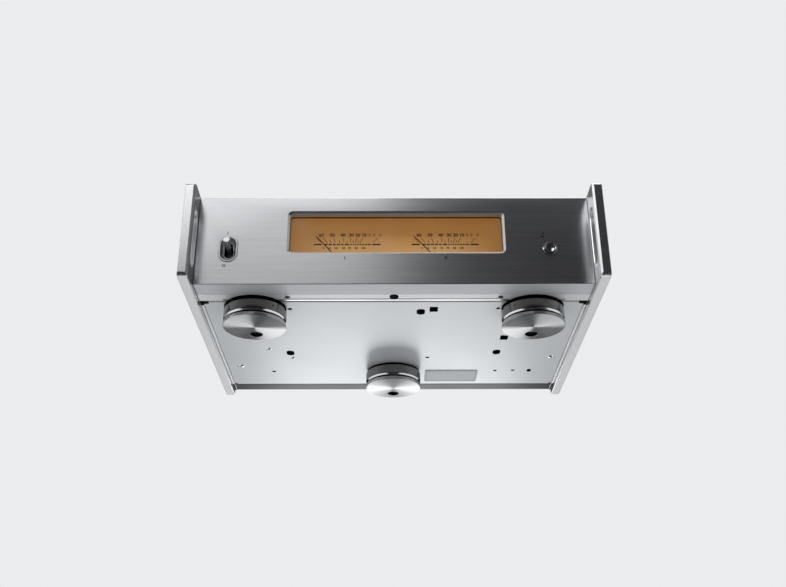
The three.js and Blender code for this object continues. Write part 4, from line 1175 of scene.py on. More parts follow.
# dark colour: painted shade and painted reflection, a darker copy of the feet's metal for the shadowed
# underside that the collar reflects
SHADED_COLLAR = Metal(
    "turned_collar_painted_shade", "foot_metal", (0.25, 0.245, 0.24), 0.20, TURNED_LINES, True, 0.5, 0.25, 0.06, smears=0.0
)
FASTENER = Metal("black_oxide", "dark_fastener", (0.12, 0.12, 0.13), 0.32, (700.0, 700.0, 700.0))
GOLD = Metal("gold_plate", "contact_gold", (0.84, 0.67, 0.30), 0.20, TURNED_LINES, True, 0.3, 0.1, 0.06)
BLACK = Plastic("black_moulding", "black_plastic", (0.035, 0.035, 0.04), 0.45)
# near-black with little sheen for painted shade: put in holes, seams and gaps where there is only shade, and
# as the front feet's painted shadow
SHADE_BLACK = Plastic("painted_shade_black", "black_plastic", (0.004, 0.004, 0.005), 0.8, 900.0, 0.0, specular=0.05)
BLACK_KNOB = Plastic("black_knob", "black_knob", (0.03, 0.03, 0.035), 0.25, dust=0.03, depth=0.003 * MM)
RED_KNOB = Plastic("red_knob", "red_knob", (0.50, 0.02, 0.015), 0.22, dust=0.02, depth=0.003 * MM)
SWITCH_STEEL = Metal("plated_fitting", "switch_steel", (0.68, 0.70, 0.72), 0.28, (800.0, 800.0, 800.0))
WINDING = CopperWinding("copper_winding", "winding", (0.62, 0.27, 0.09), (0.36, 0.13, 0.04))
BOARD = CircuitBoard("circuit_board", "circuit_board", (0.02, 0.11, 0.05), (0.06, 0.22, 0.10))
HEAT_SINK = Metal("dark_extrusion", "heat_sink", (0.10, 0.105, 0.115), 0.38, (1500.0, 60.0, 1500.0))
LABEL = Paint("label_foil", "bottom_sheet", (0.37, 0.39, 0.41), 0.36, 0.4, 0.0, 2500.0, 0.2)

FINISHES: tuple[Finish, ...] = (
    FACE, SIDE, CASE, UNDERSIDE, COVER, REAR, PANE, DIAL, INK, BRIGHT, FOOT, FASTENER, GOLD, BLACK,
    BLACK_KNOB, RED_KNOB, SWITCH_STEEL, WINDING, BOARD, HEAT_SINK,
)


class Workshop:
    """Turns shapes into finished pieces and keeps each finish's material."""

    def __init__(self) -> None:
        """Build the shared effects and start without materials."""
        self.effects = Effects()
        self.patterns = Patterns()
        self.materials: dict[str, Material] = {}

    def material(self, finish: Finish) -> Material:
        """Give a finish's material, made on first use.

        Args:
            finish: The finish.

        Returns:
            Its material.
        """
        if finish.name not in self.materials:
            self.materials[finish.name] = finish.material(self.effects)
        return self.materials[finish.name]

    def piece(
        self,
        name: str,
        shape: Shape,
        finish: Finish,
        replaces: Sequence[str] = (),
        body: str = ROOT,
        sharp: float = 30.0,
    ) -> Object:
        """Make a finished piece that rides on a body.

        Args:
            name: The piece's name.
            shape: Its shape, which is used up.
            finish: Its finish.
            replaces: The frame's nodes that it stands for.
            body: The body it rides on.
            sharp: Angle in degrees past which an edge is shaded sharp.

        Returns:
            The piece.
        """
        made = loose_object(name, shape, sharp)
        made.data.materials.clear()
        made.data.materials.append(self.material(finish))
        made.data.polygons.foreach_set("material_index", [0] * len(made.data.polygons))
        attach(made, body)
        if replaces:
            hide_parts(*replaces)
        log.info("%s: %d faces on %s", name, len(made.data.polygons), body)
        return made

    def repeat(
        self, layout: Repeat, master: Shape, finish: Finish, *seats: Sequence[Vector], **inputs: object
    ) -> Shape:
        """Repeat a shape in its finish, on seats or with the layout's inputs."""
        return self.patterns.run(layout, master, self.material(finish), *seats, **inputs)

    def dress_nodes(self) -> None:
        """Give every node of the frame the finish of its slot."""
        by_slot = {finish.slot: finish for finish in FINISHES}
        for row in frame["record"]["subparts"]:
            node = frame["nodes"][row["node"]]
            finish = by_slot[row["material_slot"]]
            if getattr(finish, "mapped", False):
                finish = PLAIN_METALS[finish.slot]
            for slot in node.material_slots:
                slot.material = self.material(finish)
            log.info("%s: %s", node.name, finish.name)


PLAIN_METALS = {
    "face_aluminium": Metal("plain_face", "face_aluminium", FACE.colour, 0.3),
    "bright_metal": Metal("plain_bright", "bright_metal", BRIGHT.colour, 0.18),
    "foot_metal": Metal("plain_foot", "foot_metal", FOOT.colour, 0.24),
    "contact_gold": Metal("plain_gold", "contact_gold", GOLD.colour, 0.22, (700.0, 700.0, 700.0)),
}


# Sub-assemblies


@dataclass
class Assembly:
    """A sub-assembly of the amplifier, which a workshop finishes."""

    shop: Workshop

    def build(self) -> None:
        """Make the pieces; each kind of sub-assembly has its own."""
        raise NotImplementedError


@dataclass
class FrontPanel(Assembly):
    """Brushed front panel: a channel with a bevelled window and the holes for the controls."""

    wall: float = 5.7 * MM
    fold: float = 3.0 * MM
    chamfer: float = 0.4 * MM
    brow: float = 1.5 * MM
    lip: Point = (0.02 * MM, 0.1 * MM)
    skin: float = 0.2 * MM
    gap_shades: float = 0.15 * MM
    liner_gap: float = 0.01 * MM
    pane_edge: float = 0.2 * MM
    fitting_rim: float = 0.15 * MM
    window_width: float = 153.0 * MM
    window_height: float = 34.2 * MM
    window_radius: float = 3.6 * MM
    bevel_width: float = 1.5 * MM
    bevel_depth: float = 0.9 * MM
    lens_setback: float = 3.9 * MM
    seat_gap: float = 0.3 * MM
    mark_height: float = 2.1 * MM
    marks: tuple[tuple[str, float, float], ...] = (
        ("I", -116.6, 54.6), ("O", -117.6, 28.9), ("L", -34.0, 34.9), ("R", 36.0, 34.9),
    )
    # x, z and radius or half length of the dot and the bar, in mm
    press_dot: Triple = (104.6, 54.4, 0.55)
    press_bar: Triple = (104.0, 51.6, 1.3)

    def build(self) -> None:
        """Make the panel and its pane."""
        low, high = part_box("front_panel")
        face, back = low.y, high.y
        wall_back = face + self.wall
        skin = low.z + self.skin
        turns = [i * math.pi / 8 for i in range(5)]
        section = Corners((
            (face + self.chamfer, low.z), (face + self.chamfer, skin), (back, skin),
            (back, low.z + self.fold), (wall_back, low.z + self.fold),
            (wall_back, high.z - self.fold), (back, high.z - self.fold), (back, high.z),
            *((face + self.brow * (1 - math.sin(a)), high.z - self.brow * (1 - math.cos(a))) for a in turns),
            (face, low.z + self.chamfer),
        ))
        channel = prism(Plane.SIDE, section, low.x, high.x)
        bend = [math.radians(angle) for angle in range(88, 38, -6)]
        arcs = [[(face + self.brow - radius * math.sin(a), high.z - self.brow + radius * math.cos(a))
                 for a in bend] for radius in (self.brow + self.lip[0], self.brow - self.lip[1])]
        lip = prism(Plane.SIDE, Corners((*arcs[0], *reversed(arcs[1]))), low.x, high.x)
        self.shop.piece("front_panel_brow", lay_grain(lip, 0), BRIGHT)
        pane_low, pane_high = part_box("meter_window")
        lens = Oblong.around(Plane.ACROSS, pane_low, pane_high, self.window_radius - self.bevel_width)
        opening = replace(
            lens, width=self.window_width - 2 * self.bevel_width,
            height=self.window_height - 2 * self.bevel_width,
        )
        slope = self.bevel_width / self.bevel_depth
        rim = loft(Plane.ACROSS, opening, [
            (self.bevel_width + slope * OVERRUN, face - OVERRUN), (0.0, face + self.bevel_depth),
            (0.0, wall_back + OVERRUN),
        ])
        seat = replace(
            lens, width=lens.width + 2 * self.seat_gap, height=lens.height + 2 * self.seat_gap
        )
        pocket = prism(Plane.ACROSS, seat, face + self.lens_setback, wall_back + OVERRUN)
        shape = carve(channel, [rim, pocket, self.fitting_hole("switch_bezel", wall_back),
                                self.fitting_hole("button_ring", wall_back)])
        self.shop.piece("front_panel_brushed", lay_grain(shape, 0), FACE, ["front_panel"])
        under = box_outline((face + self.chamfer, low.z), (back, skin))
        self.shop.piece("front_panel_return", prism(Plane.SIDE, under, low.x, high.x), RETURN)
        pane = slab(Plane.ACROSS, lens, pane_low.y, pane_high.y, self.pane_edge)
        self.shop.piece("window_pane", pane, PANE, ["meter_window"])
        dial_low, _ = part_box("dial_plate")
        self.frame("window_reveal_liner", opening, (face + self.bevel_depth, pane_low.y), REVEAL)
        # the surround's brown is painted shade with a painted amber reflection
        self.frame("dial_surround", opening, (pane_high.y, dial_low.y - self.seat_gap), SHADED_SURROUND)
        marks = [lettering(text, (x * MM, z * MM), face, self.mark_height) for text, x, z in self.marks]
        dot_x, dot_z, dot_radius = (part * MM for part in self.press_dot)
        bar_x, bar_z, bar_half = (part * MM for part in self.press_bar)
        half = 0.7 * dot_radius
        bar = box_outline((bar_x - bar_half, bar_z - half), (bar_x + bar_half, bar_z + half))
        for outline in (disc(dot_radius, (dot_x, dot_z)), bar):
            marks.append(prism(Plane.ACROSS, outline, face - INK_DEPTH, face))
        self.shop.piece("panel_marks", merged(marks), MARKING)

    def frame(self, name: str, opening: Oblong, levels: Point, finish: Finish) -> None:
        """Line the window's opening with a thin frame.

        Args:
            name: The frame's name.
            opening: The window's opening.
            levels: The frame's front and back.
            finish: Its finish.
        """
        front, back = levels
        walls = prism(Plane.ACROSS, opening, front, back, -self.liner_gap)
        inside = prism(Plane.ACROSS, opening, front - OVERRUN, back + OVERRUN, -self.gap_shades)
        self.shop.piece(name, lay_grain(carve(walls, [inside]), 0), finish)

    def fitting_hole(self, node: str, wall_back: float) -> Shape:
        """Make the cutting shape of the hole that a fitting sits in.

        Args:
            node: The fitting's node.
            wall_back: Level of the wall's back.

        Returns:
            The cutting shape.
        """
        low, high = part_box(node)
        face = wall_back - self.wall
        width, height = high.x - low.x + self.seat_gap, high.z - low.z + self.seat_gap
        around = Oblong(width, height, width / 2, box_centre(Plane.ACROSS, low, high), 12)
        return hole(Plane.ACROSS, around, face, wall_back, self.fitting_rim)


@dataclass
class SidePlates(Assembly):
    """Two thick side plates, each with a finger slot near its front edge."""

    corner_radius: float = 3.0 * MM
    rear_radius: float = 0.8 * MM
    edge: float = 0.4 * MM
    chamfer: Point = (1.4 * MM, 0.8 * MM)
    skin: float = 0.03 * MM
    slot_rim: float = 0.5 * MM
    slot_width: float = 11.5 * MM
    slot_height: float = 45.0 * MM
    slot_setback: float = 5.2 * MM
    slot_rise: float = 13.0 * MM

    def build(self) -> None:
        """Make both plates."""
        for side in SIDES:
            node = f"side_plate_{side}"
            low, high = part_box(node)
            front = low.y + self.skin
            middle = ((front + high.y) / 2, (low.z + high.z) / 2)
            plate = Oblong(high.y - front, high.z - low.z, self.corner_radius, middle, 6, self.rear_radius)
            centre = (
                low.y + self.slot_setback + self.slot_width / 2, low.z + self.slot_rise + self.slot_height / 2
            )
            slot = Oblong(self.slot_width, self.slot_height, self.slot_width / 2, centre, 10)
            tools = [hole(Plane.SIDE, slot, low.x, high.x, self.slot_rim)]
            inner, outer, way = (high.x, low.x, -1) if side == "left" else (low.x, high.x, 1)
            across, back = self.chamfer
            corner = Corners((
                (inner + 1.5 * way * across, front - 0.5 * back),
                (inner - 0.5 * way * across, front + 1.5 * back), (inner - way * across, front - back),
            ))
            tools.append(prism(Plane.PLAN, corner, low.z - OVERRUN, high.z + OVERRUN))
            shape = carve(slab(Plane.SIDE, plate, low.x, high.x, self.edge), tools)
            near, far = sorted((outer - way * self.edge, inner + way * across))
            face = box_outline((near, low.z + self.corner_radius), (far, high.z - self.corner_radius))
            skin = prism(Plane.ACROSS, face, low.y, front + self.edge)
            self.shop.piece(f"{node}_front_edge", lay_grain(skin, 2), SIDE_EDGE)
            # skin the underside in the near-white paint: painted light
            under = box_outline(
                (low.x + self.edge, front + self.corner_radius),
                (high.x - self.edge, high.y - self.rear_radius),
            )
            skin = prism(Plane.PLAN, under, low.z - self.skin, low.z + self.edge)
            self.shop.piece(f"{node}_lower_edge", lay_grain(skin, 1), LIT_LOWER_EDGE)
            self.shop.piece(f"{node}_satin", lay_grain(shape, 1), SIDE, [node], sharp=20.0)


@dataclass
class BottomPlate(Assembly):
    """Painted bottom plate with its holes, pressed dimples and blank label plate; places are in mm."""

    node: str = "bottom_plate"
    notch_x: float = 3.5 * MM
    notch_y: float = 2.6 * MM
    cut_corner: float = 3.0 * MM
    edge: float = 0.3 * MM
    hole_edge: float = 0.1 * MM
    # black painted shade in the rear edge's gap and beside the corners: its setback, its width and its small
    # offset from the plate's faces
    rear_shade_setback: float = 0.15 * MM
    rear_shade_width: float = 1.3 * MM
    shade_offset: float = 0.08 * MM
    hem_width: float = 2.6 * MM
    hem_drop: float = 0.34 * MM
    hem_root: float = 0.1 * MM
    hem_end: float = 121.0 * MM
    # levels of the dark strip of painted shade in the seam behind the flange
    flange_gap: Point = (0.35 * MM, 0.9 * MM)
    slip: float = 0.02 * MM
    # x and y ends in mm of the black boxes of painted shade in the gaps beside the corners
    edge_shade_boxes: tuple[tuple[float, float, float, float], ...] = (
        (131.9, 137.6, -78.3, -73.8), (135.5, 137.6, -73.8, -71.5), (136.3, 137.6, 86.0, 101.4),
    )
    eyelet: Point = (0.9 * MM, 2.2 * MM)
    wide_eyelet: Point = (1.0 * MM, 3.3 * MM)
    small_radius: float = 1.6 * MM
    large: Point = (6.0 * MM, 9.6 * MM)
    tab: Point = (5.9 * MM, 8.4 * MM)
    tab_radius: float = 0.5 * MM
    peg_radius: float = 0.4 * MM
    # wall and rise of the black tubes of painted shade in the holes
    shade_liner_wall: float = 0.15 * MM
    shade_liner_rise: float = 1.5 * MM
    peg: Point = (3.2 * MM, 5.6 * MM)
    small_holes: Points = (
        (-75.0, -64.8), (75.1, -65.5), (-99.2, 57.2), (27.4, 27.1), (99.2, 55.5), (84.5, 56.0),
    )
    large_holes: Points = ((-81.9, 17.6), (81.9, 16.2), (19.5, -59.6))
    tab_holes: Points = ((28.8, -63.9), (84.9, -12.6))
    peg_holes: Points = ((112.7, 55.7),)
    dimple_radii: Point = (2.1 * MM, 1.9 * MM)
    dimple_depth: float = 0.55 * MM
    # radius and rise of the pressed ring's corners in mm
    ring: Points = ((2.9, -0.5), (4.3, -0.5), (4.0, 0.0), (3.6, 0.35), (3.2, 0.0))
    dimples: Points = ((-98.1, 9.4), (-80.9, 27.9))
    ringed_dimples: Points = ((-124.9, 44.8), (127.2, 26.3))
    line_inset: float = 1.1 * MM
    line_width: float = 0.6 * MM
    label_low: Point = (26.3, 54.7)
    label_high: Point = (70.4, 80.2)
    label_radius: float = 2.0 * MM
    label_rise: float = 0.35 * MM
    label_edge: float = 0.1 * MM

    def build(self) -> None:
        """Make the plate and what is on it."""
        low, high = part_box(self.node)
        plan = Corners((
            (low.x + self.notch_x, low.y), (high.x - self.notch_x, low.y),
            (high.x - self.notch_x, low.y + self.notch_y), (high.x, low.y + self.notch_y),
            (high.x, high.y - self.cut_corner), (high.x - self.cut_corner, high.y),
            (low.x + self.cut_corner, high.y), (low.x, high.y - self.cut_corner),
            (low.x, low.y + self.notch_y), (low.x + self.notch_x, low.y + self.notch_y),
        ))
        outlines: list[Outline] = [disc(self.small_radius, self.at(p), 5) for p in self.small_holes]
        outlines += [Oblong(*self.large, self.large[0] / 2, self.at(p), 8) for p in self.large_holes]
        outlines += [Oblong(*self.tab, self.tab_radius, self.at(p), 3) for p in self.tab_holes]
        outlines += [Oblong(*self.peg, self.peg_radius, self.at(p), 3) for p in self.peg_holes]
        tools = [hole(Plane.PLAN, outline, low.z, high.z, self.hole_edge) for outline in outlines]
        plain, ringed = self.dimple_radii
        tools += [self.dimple(place, plain) for place in self.dimples]
        for place in self.ringed_dimples:
            ring = [(radius * MM, low.z + rise * MM) for radius, rise in self.ring]
            tools += [self.dimple(place, ringed), turned(Plane.PLAN, ring, self.at(place), 32, True)]
        shape = carve(slab(Plane.PLAN, plan, low.z, high.z, self.edge), tools)
        self.shop.piece("bottom_plate_painted", lay_grain(shape, 0), UNDERSIDE, [self.node], sharp=12.0)
        # black tubes of painted shade lining the holes, so that they show dark
        hole_shades = []
        bottom, top = low.z + self.shade_offset, high.z + self.shade_liner_rise
        for outline in outlines:
            walls = prism(Plane.PLAN, outline, bottom, top, -self.slip)
            bore = prism(Plane.PLAN, outline, bottom - OVERRUN, top + OVERRUN, -self.shade_liner_wall)
            hole_shades.append(carve(walls, [bore]))
        self.shop.piece("plate_hole_liners", lay_grain(merged(hole_shades), 0), SHADE_BLACK)
        self.label(low.z)
        self.edge_strips()
        self.eyelets(low.z)

    def edge_strips(self) -> None:
        """Make the black painted shade along the rear edge and in the gaps beside the plate's corners, and
        the flange's hem with a dark strip of painted shade in its seam.
        """
        low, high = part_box(self.node)
        # a black strip of painted shade in the gap at the rear edge
        rear = box_outline(
            (low.x + self.cut_corner, high.y), (high.x - self.cut_corner, high.y + self.rear_shade_width)
        )
        strips = [prism(Plane.PLAN, rear, low.z + self.rear_shade_setback, high.z)]
        for side in (-1, 1):
            for near, far, front, back in self.edge_shade_boxes:
                x0, x1 = sorted((side * near * MM, side * far * MM))
                outline = box_outline((x0, front * MM), (x1, back * MM))
                strips.append(prism(Plane.PLAN, outline, low.z - self.shade_offset, high.z))
        self.shop.piece("bottom_seals", merged(strips), SHADE_BLACK)
        _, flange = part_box("front_chassis")
        hem = Corners((
            (flange.y - self.hem_width, low.z), (flange.y - self.hem_width, low.z - self.hem_drop),
            (flange.y, low.z - self.slip), (flange.y, low.z + self.hem_root),
        ))
        ends = (-self.hem_end, self.hem_end)
        self.shop.piece("flange_hem", lay_grain(prism(Plane.SIDE, hem, *ends), 0), SATIN)
        # a dark strip in the seam between the flange and the plate: painted shade
        near, far = self.flange_gap
        gap = box_outline((flange.y, low.z + near), (low.y, low.z + far))
        self.shop.piece("flange_gap", lay_grain(prism(Plane.SIDE, gap, *ends), 0), PRINT_AND_SEAM_SHADE)

    def eyelets(self, level: float) -> None:
        """Make the bright eyelets in the pressed hollows, with black painted shade filling their bores.

        Args:
            level: The plate's lower face.
        """
        shapes, bore_shades = [], []
        for (bore, radius), places in ((self.eyelet, self.dimples), (self.wide_eyelet, self.ringed_dimples)):
            ring = turned(Plane.PLAN, [
                (bore, -0.1 * MM), (bore + 0.25 * MM, -0.35 * MM), (radius, 0.1 * MM), (radius, 0.5 * MM),
                (bore, 0.5 * MM),
            ], sides=24, closed=True)
            seats = [Vector((*self.at(place), level)) for place in places]
            shapes.append(self.shop.repeat(Repeat.SEATS, ring, BRIGHT, seats))
            # black discs of painted shade in the eyelets' bores
            bore_shades += [
                prism(Plane.PLAN, disc(bore, (seat.x, seat.y), 4), level, level + 0.6 * MM)
                for seat in seats
            ]
        self.shop.piece("plate_eyelets", merged(shapes), BRIGHT)
        self.shop.piece("plate_eyelet_plugs", merged(bore_shades), SHADE_BLACK)

    @staticmethod
    def at(place: Point) -> Point:
        """Give a place in metres."""
        return (place[0] * MM, place[1] * MM)

    def dimple(self, place: Point, radius: float) -> Shape:
        """Make the cutting shape of a pressed hollow with a pilot hole in it.

        Args:
            place: The hollow's centre in millimetres.
            radius: Its radius.

        Returns:
            The cutting shape.
        """
        level, top = (corner.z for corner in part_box(self.node))
        deep = level + self.dimple_depth
        floor, pilot = 0.5 * radius, 0.3 * radius
        profile = [
            (0.0, level - OVERRUN), (radius + OVERRUN, level - OVERRUN), (radius, level), (floor, deep),
            (pilot, deep), (pilot, top + OVERRUN), (0.0, top + OVERRUN),
        ]
        return turned(Plane.PLAN, profile, self.at(place), 24)

    def label(self, level: float) -> None:
        """Make the blank label plate with its raised border.

        Args:
            level: The plate's lower face.
        """
        corners = self.at(self.label_low), self.at(self.label_high)
        plate = Oblong.around(Plane.PLAN, *corners, self.label_radius, 4)
        under = level - self.label_rise
        foil = slab(Plane.PLAN, plate, under, level, self.label_edge)
        self.shop.piece("label_plate", lay_grain(foil, 0), LABEL)
        line = prism(Plane.PLAN, plate, under - INK_DEPTH, under, -self.line_inset)
        inset = -self.line_inset - self.line_width
        gap = prism(Plane.PLAN, plate, under - OVERRUN, under + OVERRUN, inset)
        self.shop.piece("label_border", lay_grain(carve(line, [gap]), 0), PRINT_AND_SEAM_SHADE)


@dataclass
class TopCover(Assembly):
    """Cover with two rows of vent slots."""

    slot_width: float = 3.0 * MM
    slot_length: float = 46.0 * MM
    pitch: float = 8.0 * MM
    count: int = 8
    row_x: float = 67.0 * MM
    middle_y: float = 5.2 * MM
    edge: float = 0.3 * MM

    def build(self) -> None:
        """Make the cover."""
        low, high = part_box("top_cover")
        plan = Oblong(high.x - low.x, high.y - low.y, 0.5 * MM, (0.0, (low.y + high.y) / 2), 3)
        rows = []
        for side in (-1, 1):
            first = side * self.row_x - (self.count - 1) / 2 * self.pitch
            slot = Oblong(self.slot_width, self.slot_length, self.slot_width / 2, (first, self.middle_y), 6)
            rows.append(self.shop.repeat(
                Repeat.ROW, hole(Plane.PLAN, slot, low.z, high.z, self.edge), COVER,
                Count=self.count, Step=(self.pitch, 0.0, 0.0),
            ))
        shape = carve(slab(Plane.PLAN, plan, low.z, high.z, self.edge), rows)
        self.shop.piece("top_cover_slotted", lay_grain(shape, 0), COVER, ["top_cover"])


@dataclass
class Foot(Assembly):
    """A turned foot: a collar, the disc that hangs below it, and the disc's screw."""

    name: str
    radius: float = 22.5 * MM
    neck_radius: float = 18.0 * MM
    boss_radius: float = 18.3 * MM
    access_radius: float = 4.65 * MM
    access_offset: float = 12.5 * MM
    access_rim: float = 0.12 * MM
    disc_height: float = 2.5 * MM
    collar_low: float = 4.1 * MM
    bevel: float = 1.3 * MM
    collar_high: float = 12.4 * MM
    head_radius: float = 3.4 * MM
    # black rings of painted shade in the gap above the disc and at the neck, and for the front feet a black
    # disc shifted forward as a painted shadow
    washer_and_gap_shade_radius: float = 21.0 * MM
    neck_shade_radius: float = 21.3 * MM
    front_shadow_radius: float = 22.3 * MM
    front_shadow_shift: float = 1.3 * MM
    neck_shade_rise: float = 0.25 * MM
    front_shadow_rise: float = 0.28 * MM
    hole_shade_wall: float = 0.9 * MM
    gap: float = 0.05 * MM
    slip: float = 0.02 * MM
    # how far the bright bevel's corners lie along it and out of it, in mm
    bevel_ring: Points = ((0.15, 0.02), (1.15, 0.02), (1.15, -0.1), (0.15, -0.1))
    hollow_wall: float = 2.2 * MM
    hollow_high: float = 7.6 * MM
    point_low: float = 4.5 * MM
    boss_high: float = 6.0 * MM
    recess_high: float = 4.25 * MM
    shank_radius: float = 1.6 * MM
    head: Point = (1.6 * MM, 3.2 * MM)
    shank_high: float = 10.8 * MM
    socket_radius: float = 1.5 * MM
    socket: Point = (1.0 * MM, 2.6 * MM)

    def __post_init__(self) -> None:
        """Find the foot's axis, its top and the axis of its screw."""
        low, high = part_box(f"foot_collar_{self.name}")
        self.top = high.z
        self.centre = box_centre(Plane.PLAN, low, high)
        self.screw_centre = (self.centre[0], self.centre[1] + self.access_offset)

    def build(self) -> None:
        """Make the foot and its black ring of painted shade at the neck; the front feet also get a painted
        shadow in front.
        """
        self.collar()
        self.disc()
        self.screw()
        self.gap_shades()
        # a black ring of painted shade at the neck, under the plate
        radii = (self.neck_radius + self.gap, self.neck_shade_radius)
        levels = (self.collar_high + self.gap, self.top + self.neck_shade_rise)
        neck_shade = tube(Plane.PLAN, radii, levels, self.centre, 96)
        # a black disc shifted to the front: the front feet's painted shadow on the flange
        if self.name != "rear":
            around = disc(self.front_shadow_radius, (self.centre[0], self.centre[1] - self.front_shadow_shift), 24)
            front_shadow = prism(Plane.PLAN, around, self.top + self.gap, self.top + self.front_shadow_rise)
            neck_shade = merged([neck_shade, front_shadow])
        self.shop.piece(f"foot_collar_{self.name}_gasket", neck_shade, SHADE_BLACK)

    def gap_shades(self) -> None:
        """Make the black ring of painted shade in the gap above the disc, and the black tube of painted shade
        in its hole.
        """
        levels = (self.disc_height + self.gap, self.collar_low - 2 * self.gap)
        gap_shade = tube(Plane.PLAN, (self.boss_radius, self.washer_and_gap_shade_radius), levels, self.centre, 96)
        radii = (self.access_radius - self.hole_shade_wall, self.access_radius - self.slip)
        levels = (self.access_rim + self.slip, self.collar_low)
        hole_shade = tube(Plane.PLAN, radii, levels, self.screw_centre, 48)
        body = f"foot_disc_{self.name}"
        self.shop.piece(f"{body}_liner", merged([gap_shade, hole_shade]), SHADE_BLACK, body=body)

    def collar(self) -> None:
        """Make the collar with its point."""
        hollow = self.radius - self.bevel - self.hollow_wall
        inner = self.radius - self.bevel
        corners = [
            (0.0, self.point_low), (0.7 * MM, self.point_low), (3.0 * MM, self.hollow_high),
            (hollow, self.hollow_high), (hollow, self.collar_low),
            (inner - 0.1 * MM, self.collar_low, 0.25 * MM),
            (self.radius, self.collar_low + self.bevel, 0.35 * MM),
            (self.radius, self.collar_high, 0.45 * MM), (self.radius - 0.5 * MM, self.collar_high),
            (self.neck_radius, self.collar_high), (self.neck_radius, self.top), (0.0, self.top),
        ]
        shape = turned(Plane.PLAN, corners, self.centre, 128)
        node = f"foot_collar_{self.name}"
        # the collar's dark colour is painted shade
        self.shop.piece(f"{node}_turned", shape, SHADED_COLLAR, [node])
        rim = [
            (inner + (along + out) * MM, self.collar_low + (along - out) * MM)
            for along, out in self.bevel_ring
        ]
        self.shop.piece(f"{node}_bevel", turned(Plane.PLAN, rim, self.centre, 128, True), BRIGHT)

    def disc(self) -> None:
        """Make the disc with its off-centre hole."""
        corners = [
            (0.0, 0.0), (self.radius - 0.05 * MM, 0.0, 0.4 * MM), (self.radius, 0.5 * MM, 0.2 * MM),
            (self.radius, self.disc_height, 0.4 * MM), (self.boss_radius, self.disc_height),
            (self.boss_radius, self.boss_high), (3.0 * MM, self.boss_high),
            (0.9 * MM, self.recess_high), (0.0, self.recess_high),
        ]
        body = turned(Plane.PLAN, corners, self.centre, 128)
        rim = self.access_rim
        top = self.boss_high + OVERRUN
        access = turned(Plane.PLAN, [
            (0.0, -OVERRUN), (self.access_radius + rim + OVERRUN, -OVERRUN), (self.access_radius, rim),
            (self.access_radius, 4.2 * MM), (1.9 * MM, 4.2 * MM), (1.9 * MM, top), (0.0, top),
        ], self.screw_centre, 48)
        node = f"foot_disc_{self.name}"
        self.shop.piece(f"{node}_spun", carve(body, [access]), FOOT, [node], node)

    def screw(self) -> None:
        """Make the screw that holds the disc."""
        low, high = self.head
        shank = self.shank_radius
        shape = turned(Plane.PLAN, [
            (0.0, low), (self.head_radius, low, 0.4 * MM), (self.head_radius, high, 0.1 * MM),
            (shank, high), (shank, self.shank_high, 0.2 * MM), (0.0, self.shank_high),
        ], self.screw_centre, 32)
        socket = prism(Plane.PLAN, disc(self.socket_radius, self.screw_centre, 1), *self.socket)
        node = f"foot_screw_{self.name}"
        self.shop.piece(f"{node}_socket", lay_grain(carve(shape, [socket]), 2), FASTENER, [node])


